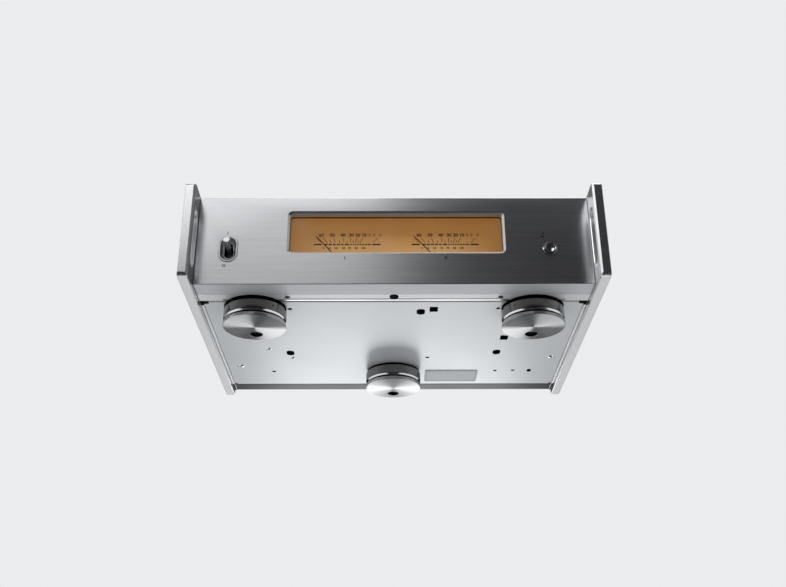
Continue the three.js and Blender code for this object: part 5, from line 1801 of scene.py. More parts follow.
@dataclass
class Controls(Assembly):
    """Bat lever in its dished bezel, and the round button in its ring."""

    proud: float = 0.5 * MM
    rim: float = 1.0 * MM
    dish: float = 3.3 * MM
    slot: Point = (6.4 * MM, 11.8 * MM)
    lever_length: float = 19.3 * MM
    tip_radius: float = 2.4 * MM
    neck_radius: float = 1.7 * MM
    ball_radius: float = 3.0 * MM
    lever_tilt: float = 7.5
    pivot_setback: float = 10.0 * MM
    ring_wall: float = 1.0 * MM
    button_radius: float = 3.5 * MM

    def build(self) -> None:
        """Make the controls."""
        self.bezel()
        self.lever()
        self.button()

    def bezel(self) -> None:
        """Make the bezel with its curved dish."""
        low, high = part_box("switch_bezel")
        width, height = high.x - low.x, high.z - low.z
        outer = Oblong.around(Plane.ACROSS, low, high, width / 2, 16)
        middle = outer.centre
        front = low.y
        body = loft(Plane.ACROSS, outer, [(-0.25 * MM, front), (0.0, front + 0.25 * MM), (0.0, high.y)])
        dish = Oblong(width - 2 * self.rim, height - 2 * self.rim, width / 2 - self.rim, middle, 16)
        slot = Oblong(*self.slot, self.slot[0] / 2, middle, 16)
        wide, narrow = dish.points(), slot.points()
        bottom = front + self.proud + self.dish
        rings = [[Plane.ACROSS.place(u, v, front - OVERRUN) for u, v in dish.points(0.2 * MM)]]
        steps = 8
        for step in range(steps + 1):
            share = step / steps
            level = front + (bottom - front) * math.sin(share * math.pi / 2) ** 0.9
            rings.append([
                Plane.ACROSS.place(a[0] + (b[0] - a[0]) * share, a[1] + (b[1] - a[1]) * share, level)
                for a, b in zip(wide, narrow)
            ])
        rings.append([Plane.ACROSS.place(u, v, high.y + OVERRUN) for u, v in narrow])
        shape = carve(body, [bridge(bmesh.new(), rings)])
        self.shop.piece("switch_bezel_dished", lay_grain(shape, 2), SATIN, ["switch_bezel"], sharp=40.0)

    def lever(self) -> None:
        """Make the bat lever at its tilt."""
        low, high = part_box("switch_bezel")
        pivot_y = low.y + self.proud + self.pivot_setback
        centre = Plane.ACROSS.place(*box_centre(Plane.ACROSS, low, high), pivot_y)
        ball, neck, tip = self.ball_radius, self.neck_radius, -self.lever_length
        corners = [
            (0.0, tip), (self.tip_radius, tip, 0.4 * MM), (self.tip_radius, tip + 1.2 * MM, 0.5 * MM),
            (neck, tip + 6.5 * MM, 1.5 * MM), (neck, -2.5 * MM),
        ]
        profile = rounded_profile(corners)
        start = math.asin(neck / ball)
        for step in range(9):
            angle = start + (math.pi - start) * step / 8
            profile.append((ball * math.sin(angle) if step < 8 else 0.0, -ball * math.cos(angle)))
        shape = turned(Plane.ACROSS, profile, sides=40)
        place = Matrix.Translation(centre) @ Matrix.Rotation(-math.radians(self.lever_tilt), 4, "X")
        self.shop.piece("power_lever_bat", moved(shape, place), SATIN, ["power_lever"], "power_lever", 40.0)

    def button(self) -> None:
        """Make the button and its ring."""
        low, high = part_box("button_ring")
        centre = box_centre(Plane.ACROSS, low, high)
        outer = (high.x - low.x) / 2
        inner = outer - self.ring_wall
        edge = 0.25 * MM
        ring = turned(Plane.ACROSS, [
            (inner, low.y + edge), (inner + edge, low.y), (outer - edge, low.y), (outer, low.y + edge),
            (outer, high.y), (inner, high.y),
        ], centre, 64, True)
        self.shop.piece("button_ring_turned", ring, BRIGHT, ["button_ring"])
        low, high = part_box("meter_button")
        flange = low.y + 6.5 * MM
        corners = [
            (0.0, low.y + 0.6 * MM), (2.0 * MM, low.y + 0.32 * MM, 0.5 * MM),
            (self.button_radius - 0.5 * MM, low.y, 0.15 * MM), (self.button_radius, low.y, 0.2 * MM),
            (self.button_radius, flange), (4.6 * MM, flange), (4.6 * MM, flange + 1.0 * MM),
            (1.5 * MM, flange + 1.0 * MM), (1.5 * MM, high.y), (0.0, high.y),
        ]
        shape = turned(Plane.ACROSS, corners, centre, 64)
        self.shop.piece("meter_button_dished", shape, BRIGHT, ["meter_button"], "meter_button")


@dataclass
class Dial(Assembly):
    """Amber dial behind both meters."""

    edge: float = 0.1 * MM

    def build(self) -> None:
        """Make the dial."""
        low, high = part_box("dial_plate")
        plate = Oblong.around(Plane.ACROSS, low, high, 1.0 * MM)
        shape = slab(Plane.ACROSS, plate, low.y, high.y, self.edge)
        self.shop.piece("dial_amber", lay_grain(shape, 0), DIAL, ["dial_plate"])


@dataclass
class Meter(Assembly):
    """One meter: its scale, printed on the dial, and its needle."""

    side: str
    needle_rest: float = 41.0
    needle_length: float = 34.0 * MM
    needle_tail: float = 6.0 * MM
    root_width: float = 1.0 * MM
    tip_width: float = 0.5 * MM
    tail_width: float = 1.6 * MM
    blade: float = 0.5 * MM
    hub_radius: float = 2.2 * MM
    hub_height: float = 1.0 * MM
    shaft_radius: float = 0.8 * MM
    pivot_z: float = 30.7 * MM
    numbers: tuple[tuple[str, float], ...] = (
        ("60", -18.4), ("50", -10.6), ("40", -2.9), ("30", 2.9), ("20", 7.6), ("10", 12.0),
    )
    faint_numbers: tuple[tuple[str, float], ...] = (("-", -24.6), ("5", 15.9), ("3", 19.0), ("0", 23.4))
    faint_height: float = 1.9 * MM
    small_numbers: tuple[tuple[str, float], ...] = (
        ("5", -16.4), ("10", -12.4), ("20", -7.6), ("50", -2.4), ("70", 1.8), ("85", 6.6), ("100", 11.4),
    )
    number_height: float = 2.5 * MM
    number_z: float = 57.4 * MM
    small_height: float = 1.5 * MM
    small_z: float = 46.9 * MM
    tick_low: float = 51.3 * MM
    tick_high: float = 55.2 * MM
    short_tick: float = 53.4 * MM
    tick_width: float = 0.45 * MM
    line_z: float = 49.9 * MM
    line_height: float = 1.15 * MM
    # both ends of each dash, in mm from the centre line
    dashes: Points = (
        (-23.7, -18.0), (-16.0, -13.7), (-13.1, -10.8), (-10.2, -7.9), (-7.3, -5.0), (-4.4, -2.6),
        (-1.8, 1.5), (2.2, 3.4), (4.1, 5.0), (5.6, 6.5), (7.1, 8.0), (17.9, 23.7),
    )
    faint_dashes: Points = ((8.6, 10.0), (10.6, 12.0), (12.6, 14.0), (14.6, 16.9))

    def __post_init__(self) -> None:
        """Find the meter's centre line and the dial's front."""
        low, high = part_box(f"meter_{self.side}")
        self.middle = (low.x + high.x) / 2
        self.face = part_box("dial_plate")[0].y

    def build(self) -> None:
        """Print the scale and make the needle."""
        strong: list[Shape] = []
        faint: list[Shape] = []
        for shapes, spans in ((strong, self.dashes), (faint, self.faint_dashes)):
            for start, end in spans:
                low, high = self.middle + start * MM, self.middle + end * MM
                half = self.line_height / 2
                dash = box_outline((low, self.line_z - half), (high, self.line_z + half))
                shapes.append(self.printed(dash))
        offsets = [offset for _, offset in self.numbers]
        for offset in offsets:
            strong.append(self.tick(offset, self.tick_high))
        for offset in (-23.6, 23.6):
            faint.append(self.tick(offset, self.tick_high))
        for before, after in zip(offsets, offsets[1:]):
            strong.append(self.tick((before + after) / 2, self.short_tick))
        for shapes, labels, height, level in (
            (strong, self.numbers, self.number_height, self.number_z),
            (faint, self.faint_numbers, self.faint_height, self.number_z),
            (strong, self.small_numbers, self.small_height, self.small_z),
        ):
            shapes += [
                lettering(text, (self.middle + x * MM, level), self.face, height) for text, x in labels
            ]
        self.shop.piece(f"scale_print_{self.side}", merged(strong), INK)
        self.shop.piece(f"scale_fine_print_{self.side}", merged(faint), FAINT_INK)
        self.needle()

    def printed(self, outline: Outline) -> Shape:
        """Give an outline the ink's thickness on the dial."""
        return prism(Plane.ACROSS, outline, self.face - INK_DEPTH, self.face)

    def tick(self, offset: float, top: float) -> Shape:
        """Print a tick that points at the needle's pivot.

        Args:
            offset: How far the tick's number stands from the centre line, in millimetres.
            top: Level of the tick's upper end.

        Returns:
            The tick's shape.
        """
        lean = offset * MM / (self.number_z - self.pivot_z)
        low = self.middle + lean * (self.tick_low - self.pivot_z)
        high = self.middle + lean * (top - self.pivot_z)
        half = self.tick_width / 2 * math.hypot(1.0, lean)
        corners = (
            (low - half, self.tick_low), (low + half, self.tick_low), (high + half, top), (high - half, top)
        )
        return self.printed(Corners(corners))

    def needle(self) -> None:
        """Make the needle at rest."""
        node = f"needle_{self.side}"
        pivot = Vector((self.middle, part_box(node)[0].y, self.pivot_z))
        arm = Corners((
            (-self.tail_width / 2, -self.needle_tail), (self.tail_width / 2, -self.needle_tail),
            (self.root_width / 2, 0.0), (self.tip_width / 2, self.needle_length),
            (-self.tip_width / 2, self.needle_length), (-self.root_width / 2, 0.0),
        ))
        edge = 0.08 * MM
        hub = turned(Plane.ACROSS, [
            (0.0, 0.0), (self.hub_radius, 0.0, 0.25 * MM), (self.hub_radius, self.hub_height, 0.1 * MM),
            (self.shaft_radius, self.hub_height), (self.shaft_radius, 5.0 * MM), (0.0, 5.0 * MM),
        ], sides=32)
        shape = carve(slab(Plane.ACROSS, arm, 0.0, self.blade, edge), [hub], "UNION")
        place = Matrix.Translation(pivot) @ Matrix.Rotation(-math.radians(self.needle_rest), 4, "Y")
        self.shop.piece(f"{node}_blade", lay_grain(moved(shape, place), 2), INK, [node], node)


@dataclass
class CaseScrews(Assembly):
    """Small screws that hold the sheets together, on the underside and the rear."""

    head_radius: float = 2.3 * MM
    flange_radius: float = 1.9 * MM
    edge_radius: float = 0.55 * MM
    flange_x: float = 75.0 * MM
    flange_setback: float = 4.45 * MM
    edge_setback: float = 8.0 * MM
    edge_z: float = 15.4 * MM
    # outline and levels of a black plate of painted shade under the flange, standing for a port's dark
    # opening
    port: Point = (6.3 * MM, 7.4 * MM)
    port_radius: float = 2.6 * MM
    port_setback: float = 0.3 * MM
    port_shade: Point = (0.05 * MM, 0.5 * MM)
    rear_places: Points = (
        (-130.0, 24.0), (130.0, 24.0), (-130.0, 74.0), (130.0, 74.0), (0.0, 76.0),
    )
    fitting_radius: float = 1.7 * MM
    socket_offset: Point = (10.2 * MM, 12.7 * MM)
    inlet_offset: float = 20.0 * MM

    def build(self) -> None:
        """Make the screws."""
        front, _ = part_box("front_chassis")
        _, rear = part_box("rear_panel")
        heads = [
            self.shop.repeat(
                Repeat.ROW, self.head(radius), FASTENER, Count=2, Start=(-self.flange_x, y, z),
                Step=(2 * self.flange_x, 0.0, 0.0),
            )
            for radius, y, z in (
                (self.flange_radius, front.y + self.flange_setback, front.z),
                (self.edge_radius, rear.y - self.edge_setback, self.edge_z),
            )
        ]
        self.shop.piece("underside_screws", lay_grain(merged(heads), 2), FASTENER)
        # a thin black plate of painted shade where the flange shows a dark port
        middle = (0.0, front.y + self.port_setback + self.port[1] / 2)
        port = Oblong(*self.port, self.port_radius, middle, 6)
        port_shade = prism(Plane.PLAN, port, front.z - self.port_shade[0], front.z + self.port_shade[1])
        self.shop.piece("flange_plug", port_shade, SHADE_BLACK)
        places = [Vector((x * MM, rear.y, z * MM)) for x, z in self.rear_places]
        self.upright("rear_screws", self.head_radius, places)
        seats = []
        for node, across, rise in (
            ("balanced_socket_left", *self.socket_offset), ("balanced_socket_right", *self.socket_offset),
            ("mains_inlet", self.inlet_offset, 0.0),
        ):
            low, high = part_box(node)
            middle = Plane.ACROSS.place(*box_centre(Plane.ACROSS, low, high), high.y)
            seats += [middle + Vector((side * across, 0.0, side * rise)) for side in (-1, 1)]
        self.upright("fitting_screws", self.fitting_radius, seats)

    def upright(self, name: str, radius: float, seats: Sequence[Vector]) -> None:
        """Stand screws on the rear, each turned its own way.

        Args:
            name: The piece's name.
            radius: Radius of their heads.
            seats: Where they stand.
        """
        head = moved(self.head(radius), Matrix.Rotation(math.pi / 2, 4, "X"))
        shape = self.shop.repeat(Repeat.SEATS, head, FASTENER, seats, Step=(0.0, math.pi, 0.0))
        self.shop.piece(name, lay_grain(shape, 1), FASTENER)

    @staticmethod
    def head(radius: float) -> Shape:
        """Make a pan head that hangs below the origin, with a cross recess.

        Args:
            radius: The head's radius.

        Returns:
            The head's shape.
        """
        tall = 0.35 * radius
        profile = rounded_profile([
            (0.0, -tall), (0.72 * radius, -0.9 * tall, 0.2 * radius),
            (radius, -0.35 * tall, 0.12 * radius), (radius, 0.0), (0.0, 0.0),
        ], 3)
        arms = []
        for a, b in ((0.55, 0.13), (0.13, 0.55)):
            arm = box_outline((-a * radius, -b * radius), (a * radius, b * radius))
            arms.append(loft(Plane.PLAN, arm, [(0.0, -tall - OVERRUN), (-0.04 * radius, -0.3 * tall)]))
        return carve(turned(Plane.PLAN, profile, sides=20), arms)


@dataclass
class Transformer(Assembly):
    """Toroidal transformer wound with copper."""

    bore: float = 11.0 * MM
    wire: float = 1.1 * MM
    turns: int = 84

    def build(self) -> None:
        """Make the winding."""
        low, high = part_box("transformer")
        outer = (high.x - low.x) / 2
        tall = high.z - low.z
        centre = (low + high) / 2
        section = Oblong(
            outer - self.bore - 2 * self.wire, tall - 2 * self.wire, 5.0 * MM,
            ((outer + self.bore) / 2, 0.0), 4,
        )
        core = turned(Plane.PLAN, section.points(-0.2 * MM), sides=96, closed=True)
        turn = self.loop(section)
        winding = self.shop.repeat(
            Repeat.RING, turn, WINDING, Count=self.turns,
            Step=(0.0, 0.0, 2 * math.pi / self.turns),
        )
        shape = moved(merged([core, winding]), Matrix.Translation(centre))
        self.shop.piece("transformer_winding", shape, WINDING, ["transformer"], sharp=60.0)

    def loop(self, section: Oblong) -> Shape:
        """Make one turn of wire round the core's section.

        Args:
            section: The core's section, its first coordinate outwards from the axis.

        Returns:
            The turn, in the plane of x and z.
        """
        shape = bmesh.new()
        path = section.points(self.wire / 2)
        count = len(path)
        rings = []
        for i, here in enumerate(path):
            before, after = Vector(path[i - 1]), Vector(path[(i + 1) % count])
            along = (after - before).normalized()
            out = Vector((along.y, -along.x))
            ring = []
            for k in range(5):
                angle = 2 * math.pi * k / 5
                point = Vector(here) + out * (self.wire / 2 * math.cos(angle))
                ring.append(shape.verts.new((point.x, 0.6 * self.wire * math.sin(angle), point.y)))
            rings.append(ring)
        for near, far in zip(rings, [*rings[1:], rings[0]]):
            for k in range(5):
                shape.faces.new((near[k - 1], near[k], far[k], far[k - 1]))
        return tidy(shape)


@dataclass
class SpeakerPost(Assembly):
    """A speaker post: a gold stud in a black flange, a clamp ring and a fluted knob."""

    name: str
    finish: Finish
    panel: float = 102.0 * MM
    washer_and_gap_shade_radius: float = 7.8 * MM
    flange_radius: float = 8.4 * MM
    flange: Point = (102.3 * MM, 106.3 * MM)
    stud_radius: float = 3.0 * MM
    bore: Point = (2.1 * MM, 18.0 * MM)
    thread: Triple = (106.8 * MM, 0.8 * MM, 0.25 * MM)
    thread_turns: int = 18
    clamp: tuple[float, float, float, float] = (3.3 * MM, 6.0 * MM, 106.6 * MM, 110.6 * MM)
    knob_radius: float = 7.4 * MM
    knob: Point = (110.9 * MM, 124.5 * MM)
    cap: float = 1.6 * MM
    mouth: float = 2.6 * MM
    hollow: float = 3.4 * MM
    flutes: int = 12
    flute: Point = (1.5 * MM, 0.7 * MM)

    def __post_init__(self) -> None:
        """Find the post's axis and the levels of its stud's ends."""
        low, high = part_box(f"post_base_{self.name}")
        self.centre = box_centre(Plane.ACROSS, low, high)
        self.inner, self.tip = low.y, high.y

    def build(self) -> None:
        """Make the post."""
        self.base()
        self.clamp_ring()
        self.fluted_knob()

    def base(self) -> None:
        """Make the flange and the threaded, bored stud."""
        near, far = self.flange
        bore, depth = self.bore
        flange = turned(Plane.ACROSS, [
            (self.stud_radius, self.panel), (self.washer_and_gap_shade_radius, self.panel), (self.washer_and_gap_shade_radius, near),
            (self.flange_radius, near, 0.3 * MM), (self.flange_radius, far, 0.9 * MM),
            (self.stud_radius, far),
        ], self.centre, 48, True)
        self.shop.piece(f"post_flange_{self.name}", flange, BLACK)
        start, pitch, cut = self.thread
        tip = self.tip
        profile = [(0.0, self.inner), (self.stud_radius, self.inner)]
        for turn in range(self.thread_turns):
            level = start + turn * pitch
            profile += [(self.stud_radius, level), (self.stud_radius - cut, level + pitch / 2)]
        profile += [
            (self.stud_radius, start + self.thread_turns * pitch), (bore + 0.5 * MM, tip),
            (bore + 0.2 * MM, tip), (bore, tip - 0.3 * MM), (bore, tip - depth), (0.0, tip - depth),
        ]
        node = f"post_base_{self.name}"
        self.shop.piece(f"{node}_stud", turned(Plane.ACROSS, profile, self.centre, 32), GOLD, [node])

    def clamp_ring(self) -> None:
        """Make the clamp ring, grooved round its middle."""
        inner, outer, low, high = self.clamp
        edge, middle = 0.4 * MM, (low + high) / 2
        ring = turned(Plane.ACROSS, [
            (inner, low), (outer - edge, low), (outer, low + edge), (outer, middle - edge),
            (outer - edge, middle), (outer, middle + edge), (outer, high - edge), (outer - edge, high),
            (inner, high),
        ], self.centre, 48, True)
        node = f"post_clamp_{self.name}"
        self.shop.piece(f"{node}_ring", ring, GOLD, [node], f"clamp_{self.name}")

    def fluted_knob(self) -> None:
        """Make the knob, whose flutes stop at its cap."""
        low, high = self.knob
        under = high - self.cap
        body = turned(Plane.ACROSS, [
            (self.hollow, low), (self.knob_radius, low, 0.4 * MM), (self.knob_radius, high, 0.8 * MM),
            (self.mouth, high, 0.4 * MM), (self.mouth, under), (self.hollow, under),
        ], closed=True)
        radius, depth = self.flute
        groove = disc(radius, (self.knob_radius - depth + radius, 0.0), 4)
        flutes = self.shop.repeat(
            Repeat.RING, prism(Plane.ACROSS, groove, low - OVERRUN, under), self.finish,
            Count=self.flutes, Step=(0.0, 2 * math.pi / self.flutes, 0.0),
        )
        shape = moved(carve(body, [flutes]), Matrix.Translation(Plane.ACROSS.place(*self.centre, 0.0)))
        node = f"post_knob_{self.name}"
        self.shop.piece(f"{node}_fluted", shape, self.finish, [node], f"knob_{self.name}")


@dataclass
class RearSockets(Assembly):
    """Balanced sockets with their release tabs, phono sockets, control jack and mains inlet."""

    panel: float = 102.0 * MM
    overlap: float = 1.0 * MM
    shell_radius: float = 11.7 * MM
    plate_radius: float = 2.4 * MM
    plate_edge: float = 0.4 * MM
    tab_radius: float = 0.7 * MM
    tab_edge: float = 0.45 * MM
    groove: Triple = (7.8 * MM, 9.7 * MM, 12.0 * MM)
    contact_circle: float = 4.0 * MM
    contact_radius: float = 1.3 * MM
    contact_angles: tuple[float, ...] = (0.0, 180.0, 270.0)
    latch: Triple = (6.6 * MM, 3.2 * MM, 11.9 * MM)
    barrel_radius: float = 4.15 * MM
    barrel_depth: float = 7.6 * MM
    barrel_wall: float = 0.6 * MM
    flange_height: float = 1.4 * MM
    nut_radius: float = 5.4 * MM
    nut_height: float = 2.0 * MM
    jack_bore: Point = (1.8 * MM, 3.6 * MM)
    jack_floor: float = 4.0 * MM
    inlet_body: Triple = (27.6 * MM, 19.6 * MM, 2.0 * MM)
    mouth: tuple[float, float, float, float] = (12.2 * MM, 8.2 * MM, 4.4 * MM, 17.0 * MM)
    blade: Triple = (2.0 * MM, 4.0 * MM, 0.3 * MM)
    blade_setback: float = 5.0 * MM
    blades: Points = ((-7.0, -1.6), (0.0, 2.0), (7.0, -1.6))

    def build(self) -> None:
        """Make the sockets."""
        for side, insulator in zip(SIDES, (BLACK_KNOB, RED_KNOB)):
            self.balanced(side)
            self.phono(side, insulator)
        self.jack()
        self.inlet()

    @staticmethod
    def seat(node: str) -> tuple[Point, Vector, Vector]:
        """Give a node's centre on the rear panel, and its box."""
        low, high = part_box(node)
        return box_centre(Plane.ACROSS, low, high), low, high

    def balanced(self, side: str) -> None:
        """Make a balanced socket, its gold contacts and its release tab.

        Args:
            side: Which socket.
        """
        node = f"balanced_socket_{side}"
        centre, low, high = self.seat(node)
        face = high.y
        plate = Oblong.around(Plane.ACROSS, low, high, self.plate_radius, 5)
        shell = turned(Plane.ACROSS, [
            (0.0, low.y), (self.shell_radius, low.y), (self.shell_radius, self.panel + self.overlap),
            (0.0, self.panel + self.overlap),
        ], centre, 64)
        inner, outer, depth = self.groove
        lip = 0.35 * MM
        groove = turned(Plane.ACROSS, [
            (inner, face - depth), (outer, face - depth), (outer, face - lip), (outer + 2 * lip, face + lip),
            (inner - 2 * lip, face + lip), (inner, face - lip),
        ], centre, 64, True)
        places = [
            on_circle(centre, self.contact_circle, math.radians(angle)) for angle in self.contact_angles
        ]
        wells = [
            loft(Plane.ACROSS, disc(self.contact_radius, place, 6), [
                (0.0, face - depth), (0.0, face - lip), (2 * lip, face + lip),
            ]) for place in places
        ]
        width, height, rise = self.latch
        tab_centre = (centre[0], centre[1] + rise)
        outline = Oblong(width, height, 0.6 * MM, tab_centre, 3)
        latch = prism(Plane.ACROSS, outline, low.y + 4.0 * MM, face + OVERRUN)
        body = carve(slab(Plane.ACROSS, plate, self.panel, face, self.plate_edge), [shell], "UNION")
        shape = carve(body, [groove, latch, *wells])
        self.shop.piece(f"{node}_shell", shape, BLACK, [node])
        wall = self.contact_radius - 0.05 * MM
        levels = (face - depth, face - 2 * lip)
        tubes = [tube(Plane.ACROSS, (0.55 * wall, wall), levels, place, 20) for place in places]
        self.shop.piece(f"balanced_contacts_{side}", merged(tubes), GOLD)
        tab_node = f"release_tab_{side}"
        low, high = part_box(tab_node)
        tab = Oblong(high.x - low.x, high.z - low.z, self.tab_radius, tab_centre, 4)
        shape = slab(Plane.ACROSS, tab, low.y, high.y, self.tab_edge)
        self.shop.piece(f"{tab_node}_plated", shape, SWITCH_STEEL, [tab_node], tab_node)

    def phono(self, side: str, insulator: Finish) -> None:
        """Make a phono socket with its insulator and centre tube.

        Args:
            side: Which socket.
            insulator: The insulator's finish.
        """
        node = f"phono_socket_{side}"
        centre, low, high = self.seat(node)
        flange, tip, barrel = (high.x - low.x) / 2, high.y, self.barrel_radius
        floor, wall = tip - self.barrel_depth, barrel - self.barrel_wall
        shoulder = self.panel + self.flange_height
        shell = turned(Plane.ACROSS, [
            (0.0, low.y), (wall, low.y), (wall, self.panel), (flange, self.panel, 0.15 * MM),
            (flange, shoulder, 0.4 * MM), (barrel, shoulder, 0.3 * MM),
            (barrel, tip, 0.3 * MM), (wall, tip, 0.2 * MM), (wall, floor), (0.0, floor),
        ], centre, 40)
        self.shop.piece(f"{node}_shell", shell, GOLD, [node])
        for name, finish, bore, outside, level in (
            ("insulator", insulator, 1.95 * MM, wall - 0.05 * MM, tip - 0.6 * MM),
            ("tube", GOLD, 1.3 * MM, 1.9 * MM, tip - 1.2 * MM),
        ):
            ring = tube(Plane.ACROSS, (bore, outside), (floor, level), centre, 32)
            self.shop.piece(f"phono_{name}_{side}", ring, finish)

    def jack(self) -> None:
        """Make the control jack with its hexagon nut."""
        centre, low, high = self.seat("trigger_jack")
        angles = [i * math.pi / 3 + math.pi / 6 for i in range(6)]
        hexagon = Corners(tuple(on_circle(centre, self.nut_radius, angle) for angle in angles))
        nut = slab(Plane.ACROSS, hexagon, self.panel, self.panel + self.nut_height, 0.3 * MM)
        bore, outside = self.jack_bore
        floor = low.y + self.jack_floor
        barrel = turned(Plane.ACROSS, [
            (0.0, low.y), (outside, low.y, 0.2 * MM), (outside, high.y, 0.4 * MM),
            (bore, high.y, 0.4 * MM), (bore, floor), (0.0, floor),
        ], centre, 36)
        self.shop.piece("trigger_jack_nut", carve(nut, [barrel], "UNION"), SWITCH_STEEL, ["trigger_jack"])

    def inlet(self) -> None:
        """Make the mains inlet and its three blades."""
        centre, low, high = self.seat("mains_inlet")
        face = high.y
        flange = Oblong.around(Plane.ACROSS, low, high, 5.0 * MM)
        width, height, radius = self.inlet_body
        outline = Oblong(width, height, radius, centre, 4)
        block = prism(Plane.ACROSS, outline, low.y, self.panel + self.overlap)
        half, tall, cut, depth = self.mouth
        corners = ((-half, -tall), (half, -tall), (half, tall - cut), (half - cut, tall), (cut - half, tall),
                   (-half, tall - cut))
        outline = Corners(tuple((centre[0] + x, centre[1] + z) for x, z in corners))
        lip = 0.6 * MM
        mouth = loft(Plane.ACROSS, outline, [(0.0, face - depth), (0.0, face - lip), (2 * lip, face + lip)])
        body = carve(slab(Plane.ACROSS, flange, self.panel, face, 0.6 * MM), [block], "UNION")
        self.shop.piece("mains_inlet_shell", carve(body, [mouth]), BLACK, ["mains_inlet"])
        blades = []
        for x, z in self.blades:
            outline = Oblong(*self.blade, (centre[0] + x * MM, centre[1] + z * MM), 2)
            blades.append(slab(Plane.ACROSS, outline, face - depth, face - self.blade_setback, 0.4 * MM))
        self.shop.piece("mains_inlet_blades", lay_grain(merged(blades), 1), BRIGHT)


@dataclass
class SlideSwitches(Assembly):
    """Ridged caps of the two slide switches."""

    ridge: Triple = (0.55 * MM, 0.6 * MM, 0.3 * MM)
    pitch: float = 1.3 * MM
    count: int = 3

    def build(self) -> None:
        """Make both caps."""
        width, tall, edge = self.ridge
        for node in ("input_slider", "mode_slider"):
            low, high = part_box(node)
            cap = Oblong.around(Plane.ACROSS, low, high, 0.4 * MM, 3)
            block = slab(Plane.ACROSS, cap, low.y, high.y - tall, 0.15 * MM)
            start = (cap.centre[0] - self.pitch, cap.centre[1])
            ridge = Oblong(width, cap.height - edge, 0.2 * MM, start, 2)
            ridges = self.shop.repeat(
                Repeat.ROW, slab(Plane.ACROSS, ridge, high.y - tall - edge, high.y, 0.15 * MM),
                BLACK, Count=self.count, Step=(self.pitch, 0.0, 0.0),
            )
            self.shop.piece(f"{node}_ridged", merged([block, ridges]), BLACK, [node], node)


# Camera and studio


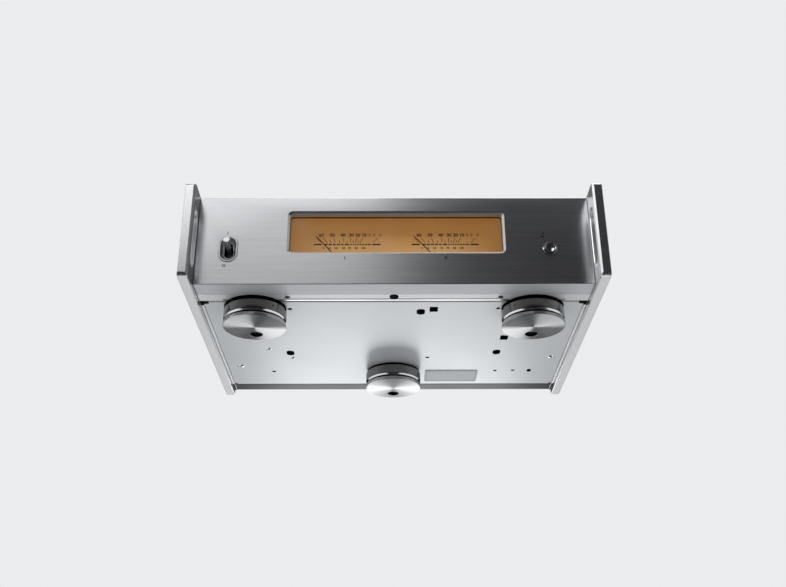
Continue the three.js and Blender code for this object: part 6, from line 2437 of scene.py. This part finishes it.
@dataclass
class Studio:
    """Camera at the photograph's place, pale floor and background, and soft lamps."""

    lens: float = 44.98
    sensor: float = 36.0
    place: Triple = (-0.004265, -0.705637, -0.286605)
    pitch: float = 26.071
    yaw: float = 0.323
    roll: float = -0.218
    floor_z: float = -0.9
    tint: tuple[float, float, float, float] = (0.97, 0.98, 1.0, 1.0)
    background: float = 0.86
    ambient: float = 0.30
    mirrored: float = 0.14

    def build(self) -> None:
        """Set up the camera, the floor, the world and the lamps."""
        bpy.context.scene.view_settings.view_transform = "Standard"
        self.camera()
        self.floor()
        self.world()
        self.lamp("key", (0.0, 1.30, -0.60), (0.0, 0.0, 0.01), (0.42, 0.34), 2.0, False)
        self.lamp("strip", (0.0, 1.25, -0.25), (0.0, 0.0, -0.25), (0.524, 0.66), 2.2, True)
        self.lamp("front", (-1.1, -1.6, 1.62), (-1.1, 0.0, 1.62), (2.2, 1.5), 13.0, True)
        self.lamp("left", (-1.9, -0.35, 0.95), (0.0, -0.1, 0.0), (0.9, 1.0), 6.0, True)
        self.lamp("right", (2.15, -1.35, 1.15), (0.0, -0.1, 0.0), (0.9, 1.1), 3.0, True)
        self.lamp("top", (0.2, 0.3, 1.7), (0.0, 0.0, 0.05), (1.6, 1.6), 10.0, True)
        self.lamp("low_left", (-1.0, 0.75, -0.84), (-1.0, 0.75, 0.0), (1.4, 2.2), 3.4, True)
        self.lamp("low_right", (1.0, 0.75, -0.84), (1.0, 0.75, 0.0), (1.4, 2.2), 3.4, True)
        self.flag("flag_front_right", (1.19, -1.62, 1.0), (2.4, 4.4), (1.19, 0.0, 1.0))
        self.flag("flag_front_left", (-1.1, -1.63, -0.13), (2.2, 2.0), (-1.1, 0.0, -0.13))
        self.flag("flag_rear_left", (-0.815, 1.25, 0.056), (1.1, 1.25), (-0.815, 0.0, 0.056))
        self.flag("flag_rear_right", (0.815, 1.25, 0.056), (1.1, 1.25), (0.815, 0.0, 0.056))
        self.flag("flag_floor", (0.0, 1.125, -0.83), (0.50, 2.95), (0.0, 1.125, 0.0))
        self.flag("flag_floor_front", (0.0, -0.825, -0.83), (2.4, 0.95), (0.0, -0.825, 0.0))

    def camera(self) -> None:
        """Place the camera."""
        pitch, yaw, roll = (math.radians(angle) for angle in (self.pitch, self.yaw, self.roll))
        ahead = Vector((math.sin(yaw) * math.cos(pitch), math.cos(yaw) * math.cos(pitch), math.sin(pitch)))
        right = Vector((math.cos(yaw), -math.sin(yaw), 0.0))
        up = right.cross(ahead)
        across = right * math.cos(roll) + up * math.sin(roll)
        upright = up * math.cos(roll) - right * math.sin(roll)
        data = bpy.data.cameras.new("camera")
        data.lens = self.lens
        data.sensor_width = self.sensor
        data.clip_start = 0.01
        data.clip_end = 50.0
        camera = bpy.data.objects.new("camera", data)
        turn = Matrix((across, upright, -ahead)).transposed()
        camera.matrix_world = Matrix.Translation(self.place) @ turn.to_4x4()
        bpy.context.scene.collection.objects.link(camera)
        bpy.context.scene.camera = camera

    def floor(self) -> None:
        """Lay the pale floor, far below because the camera looks up from under the amplifier."""
        shape = prism(Plane.PLAN, disc(5.0, steps=16), self.floor_z - 0.02, self.floor_z)
        floor = loose_object("floor", shape)
        floor.data.materials.append(self.plain("floor_paper", (0.78, 0.78, 0.77)))

    @staticmethod
    def plain(name: str, colour: Colour) -> Material:
        """Make a matt studio material.

        Args:
            name: Its name.
            colour: Its colour.

        Returns:
            The material.
        """
        material = bpy.data.materials.new(name)
        material.use_nodes = True
        shader = material.node_tree.nodes["Principled BSDF"]
        shader.inputs["Base Color"].default_value = rgba(colour)
        shader.inputs["Roughness"].default_value = 0.9
        return material

    def world(self) -> None:
        """Make the background pale for the camera and for reflections, and light softly with it."""
        world = bpy.data.worlds.new("studio")
        bpy.context.scene.world = world
        world.use_nodes = True
        tree = world.node_tree
        tree.nodes.clear()
        wiring = Wiring(tree)
        path = wiring.node("ShaderNodeLightPath")
        seen = wiring.maths("MAXIMUM", path.outputs["Is Camera Ray"], path.outputs["Is Transmission Ray"])
        backdrop = wiring.placed("ShaderNodeBackground", Color=self.tint, Strength=self.background)
        light = wiring.remap(path.outputs["Is Glossy Ray"], 0.0, 1.0, self.ambient, self.mirrored)
        soft = wiring.placed("ShaderNodeBackground", Color=self.tint, Strength=light)
        mix = wiring.placed("ShaderNodeMixShader", (seen, soft.outputs[0], backdrop.outputs[0]))
        wiring.placed("ShaderNodeOutputWorld", Surface=mix.outputs[0])

    @staticmethod
    def aim(holder: Object, place: Place, target: Place) -> None:
        """Point an object's lower side at a target.

        Args:
            holder: The object.
            place: Where it stands.
            target: What it points at.
        """
        holder.location = place
        way = Vector(target) - Vector(place)
        holder.rotation_euler = way.to_track_quat("-Z", "Y").to_euler()

    def lamp(self, name: str, place: Place, target: Place, size: Point, power: float, mirrored: bool) -> None:
        """Hang a soft rectangular lamp.

        Args:
            name: Its name.
            place: Where it hangs.
            target: What it points at.
            size: Its width and height.
            power: Its power in watts.
            mirrored: True if the metal shows it.
        """
        data = bpy.data.lights.new(name, "AREA")
        data.shape = "RECTANGLE"
        data.size, data.size_y = size
        data.energy = power
        holder = bpy.data.objects.new(name, data)
        bpy.context.scene.collection.objects.link(holder)
        self.aim(holder, place, target)
        holder.visible_camera = False
        holder.visible_glossy = mirrored

    def flag(self, name: str, place: Place, size: Point, target: Place) -> None:
        """Stand a dark card that only reflections see.

        Args:
            name: Its name.
            place: Where it stands.
            size: Its width and height.
            target: What it faces.
        """
        card = prism(Plane.PLAN, Oblong(*size, 0.05, steps=3), -0.01, 0.0)
        holder = loose_object(name, card)
        holder.data.materials.append(self.plain(f"{name}_felt", (0.02, 0.02, 0.024)))
        self.aim(holder, place, target)
        holder.visible_camera = False
        holder.visible_diffuse = False
        holder.visible_shadow = False


def main() -> None:
    """Build every sub-assembly in order."""
    logging.basicConfig(level=logging.INFO, format="%(name)s %(message)s")
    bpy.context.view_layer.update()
    Studio().build()
    shop = Workshop()
    shop.dress_nodes()
    posts = [(f"{side}_{pole}", finish) for side in SIDES
             for pole, finish in (("minus", BLACK_KNOB), ("plus", RED_KNOB))]
    for assembly in (
        SidePlates(shop), FrontPanel(shop), BottomPlate(shop), TopCover(shop),
        *(Foot(shop, name) for name in ("front_left", "front_right", "rear")),
        Controls(shop), Dial(shop), *(Meter(shop, side) for side in SIDES), CaseScrews(shop),
        Transformer(shop), *(SpeakerPost(shop, *post) for post in posts), RearSockets(shop),
        SlideSwitches(shop),
    ):
        log.info("building %s", type(assembly).__name__)
        assembly.build()


if __name__ == "__main__":
    main()
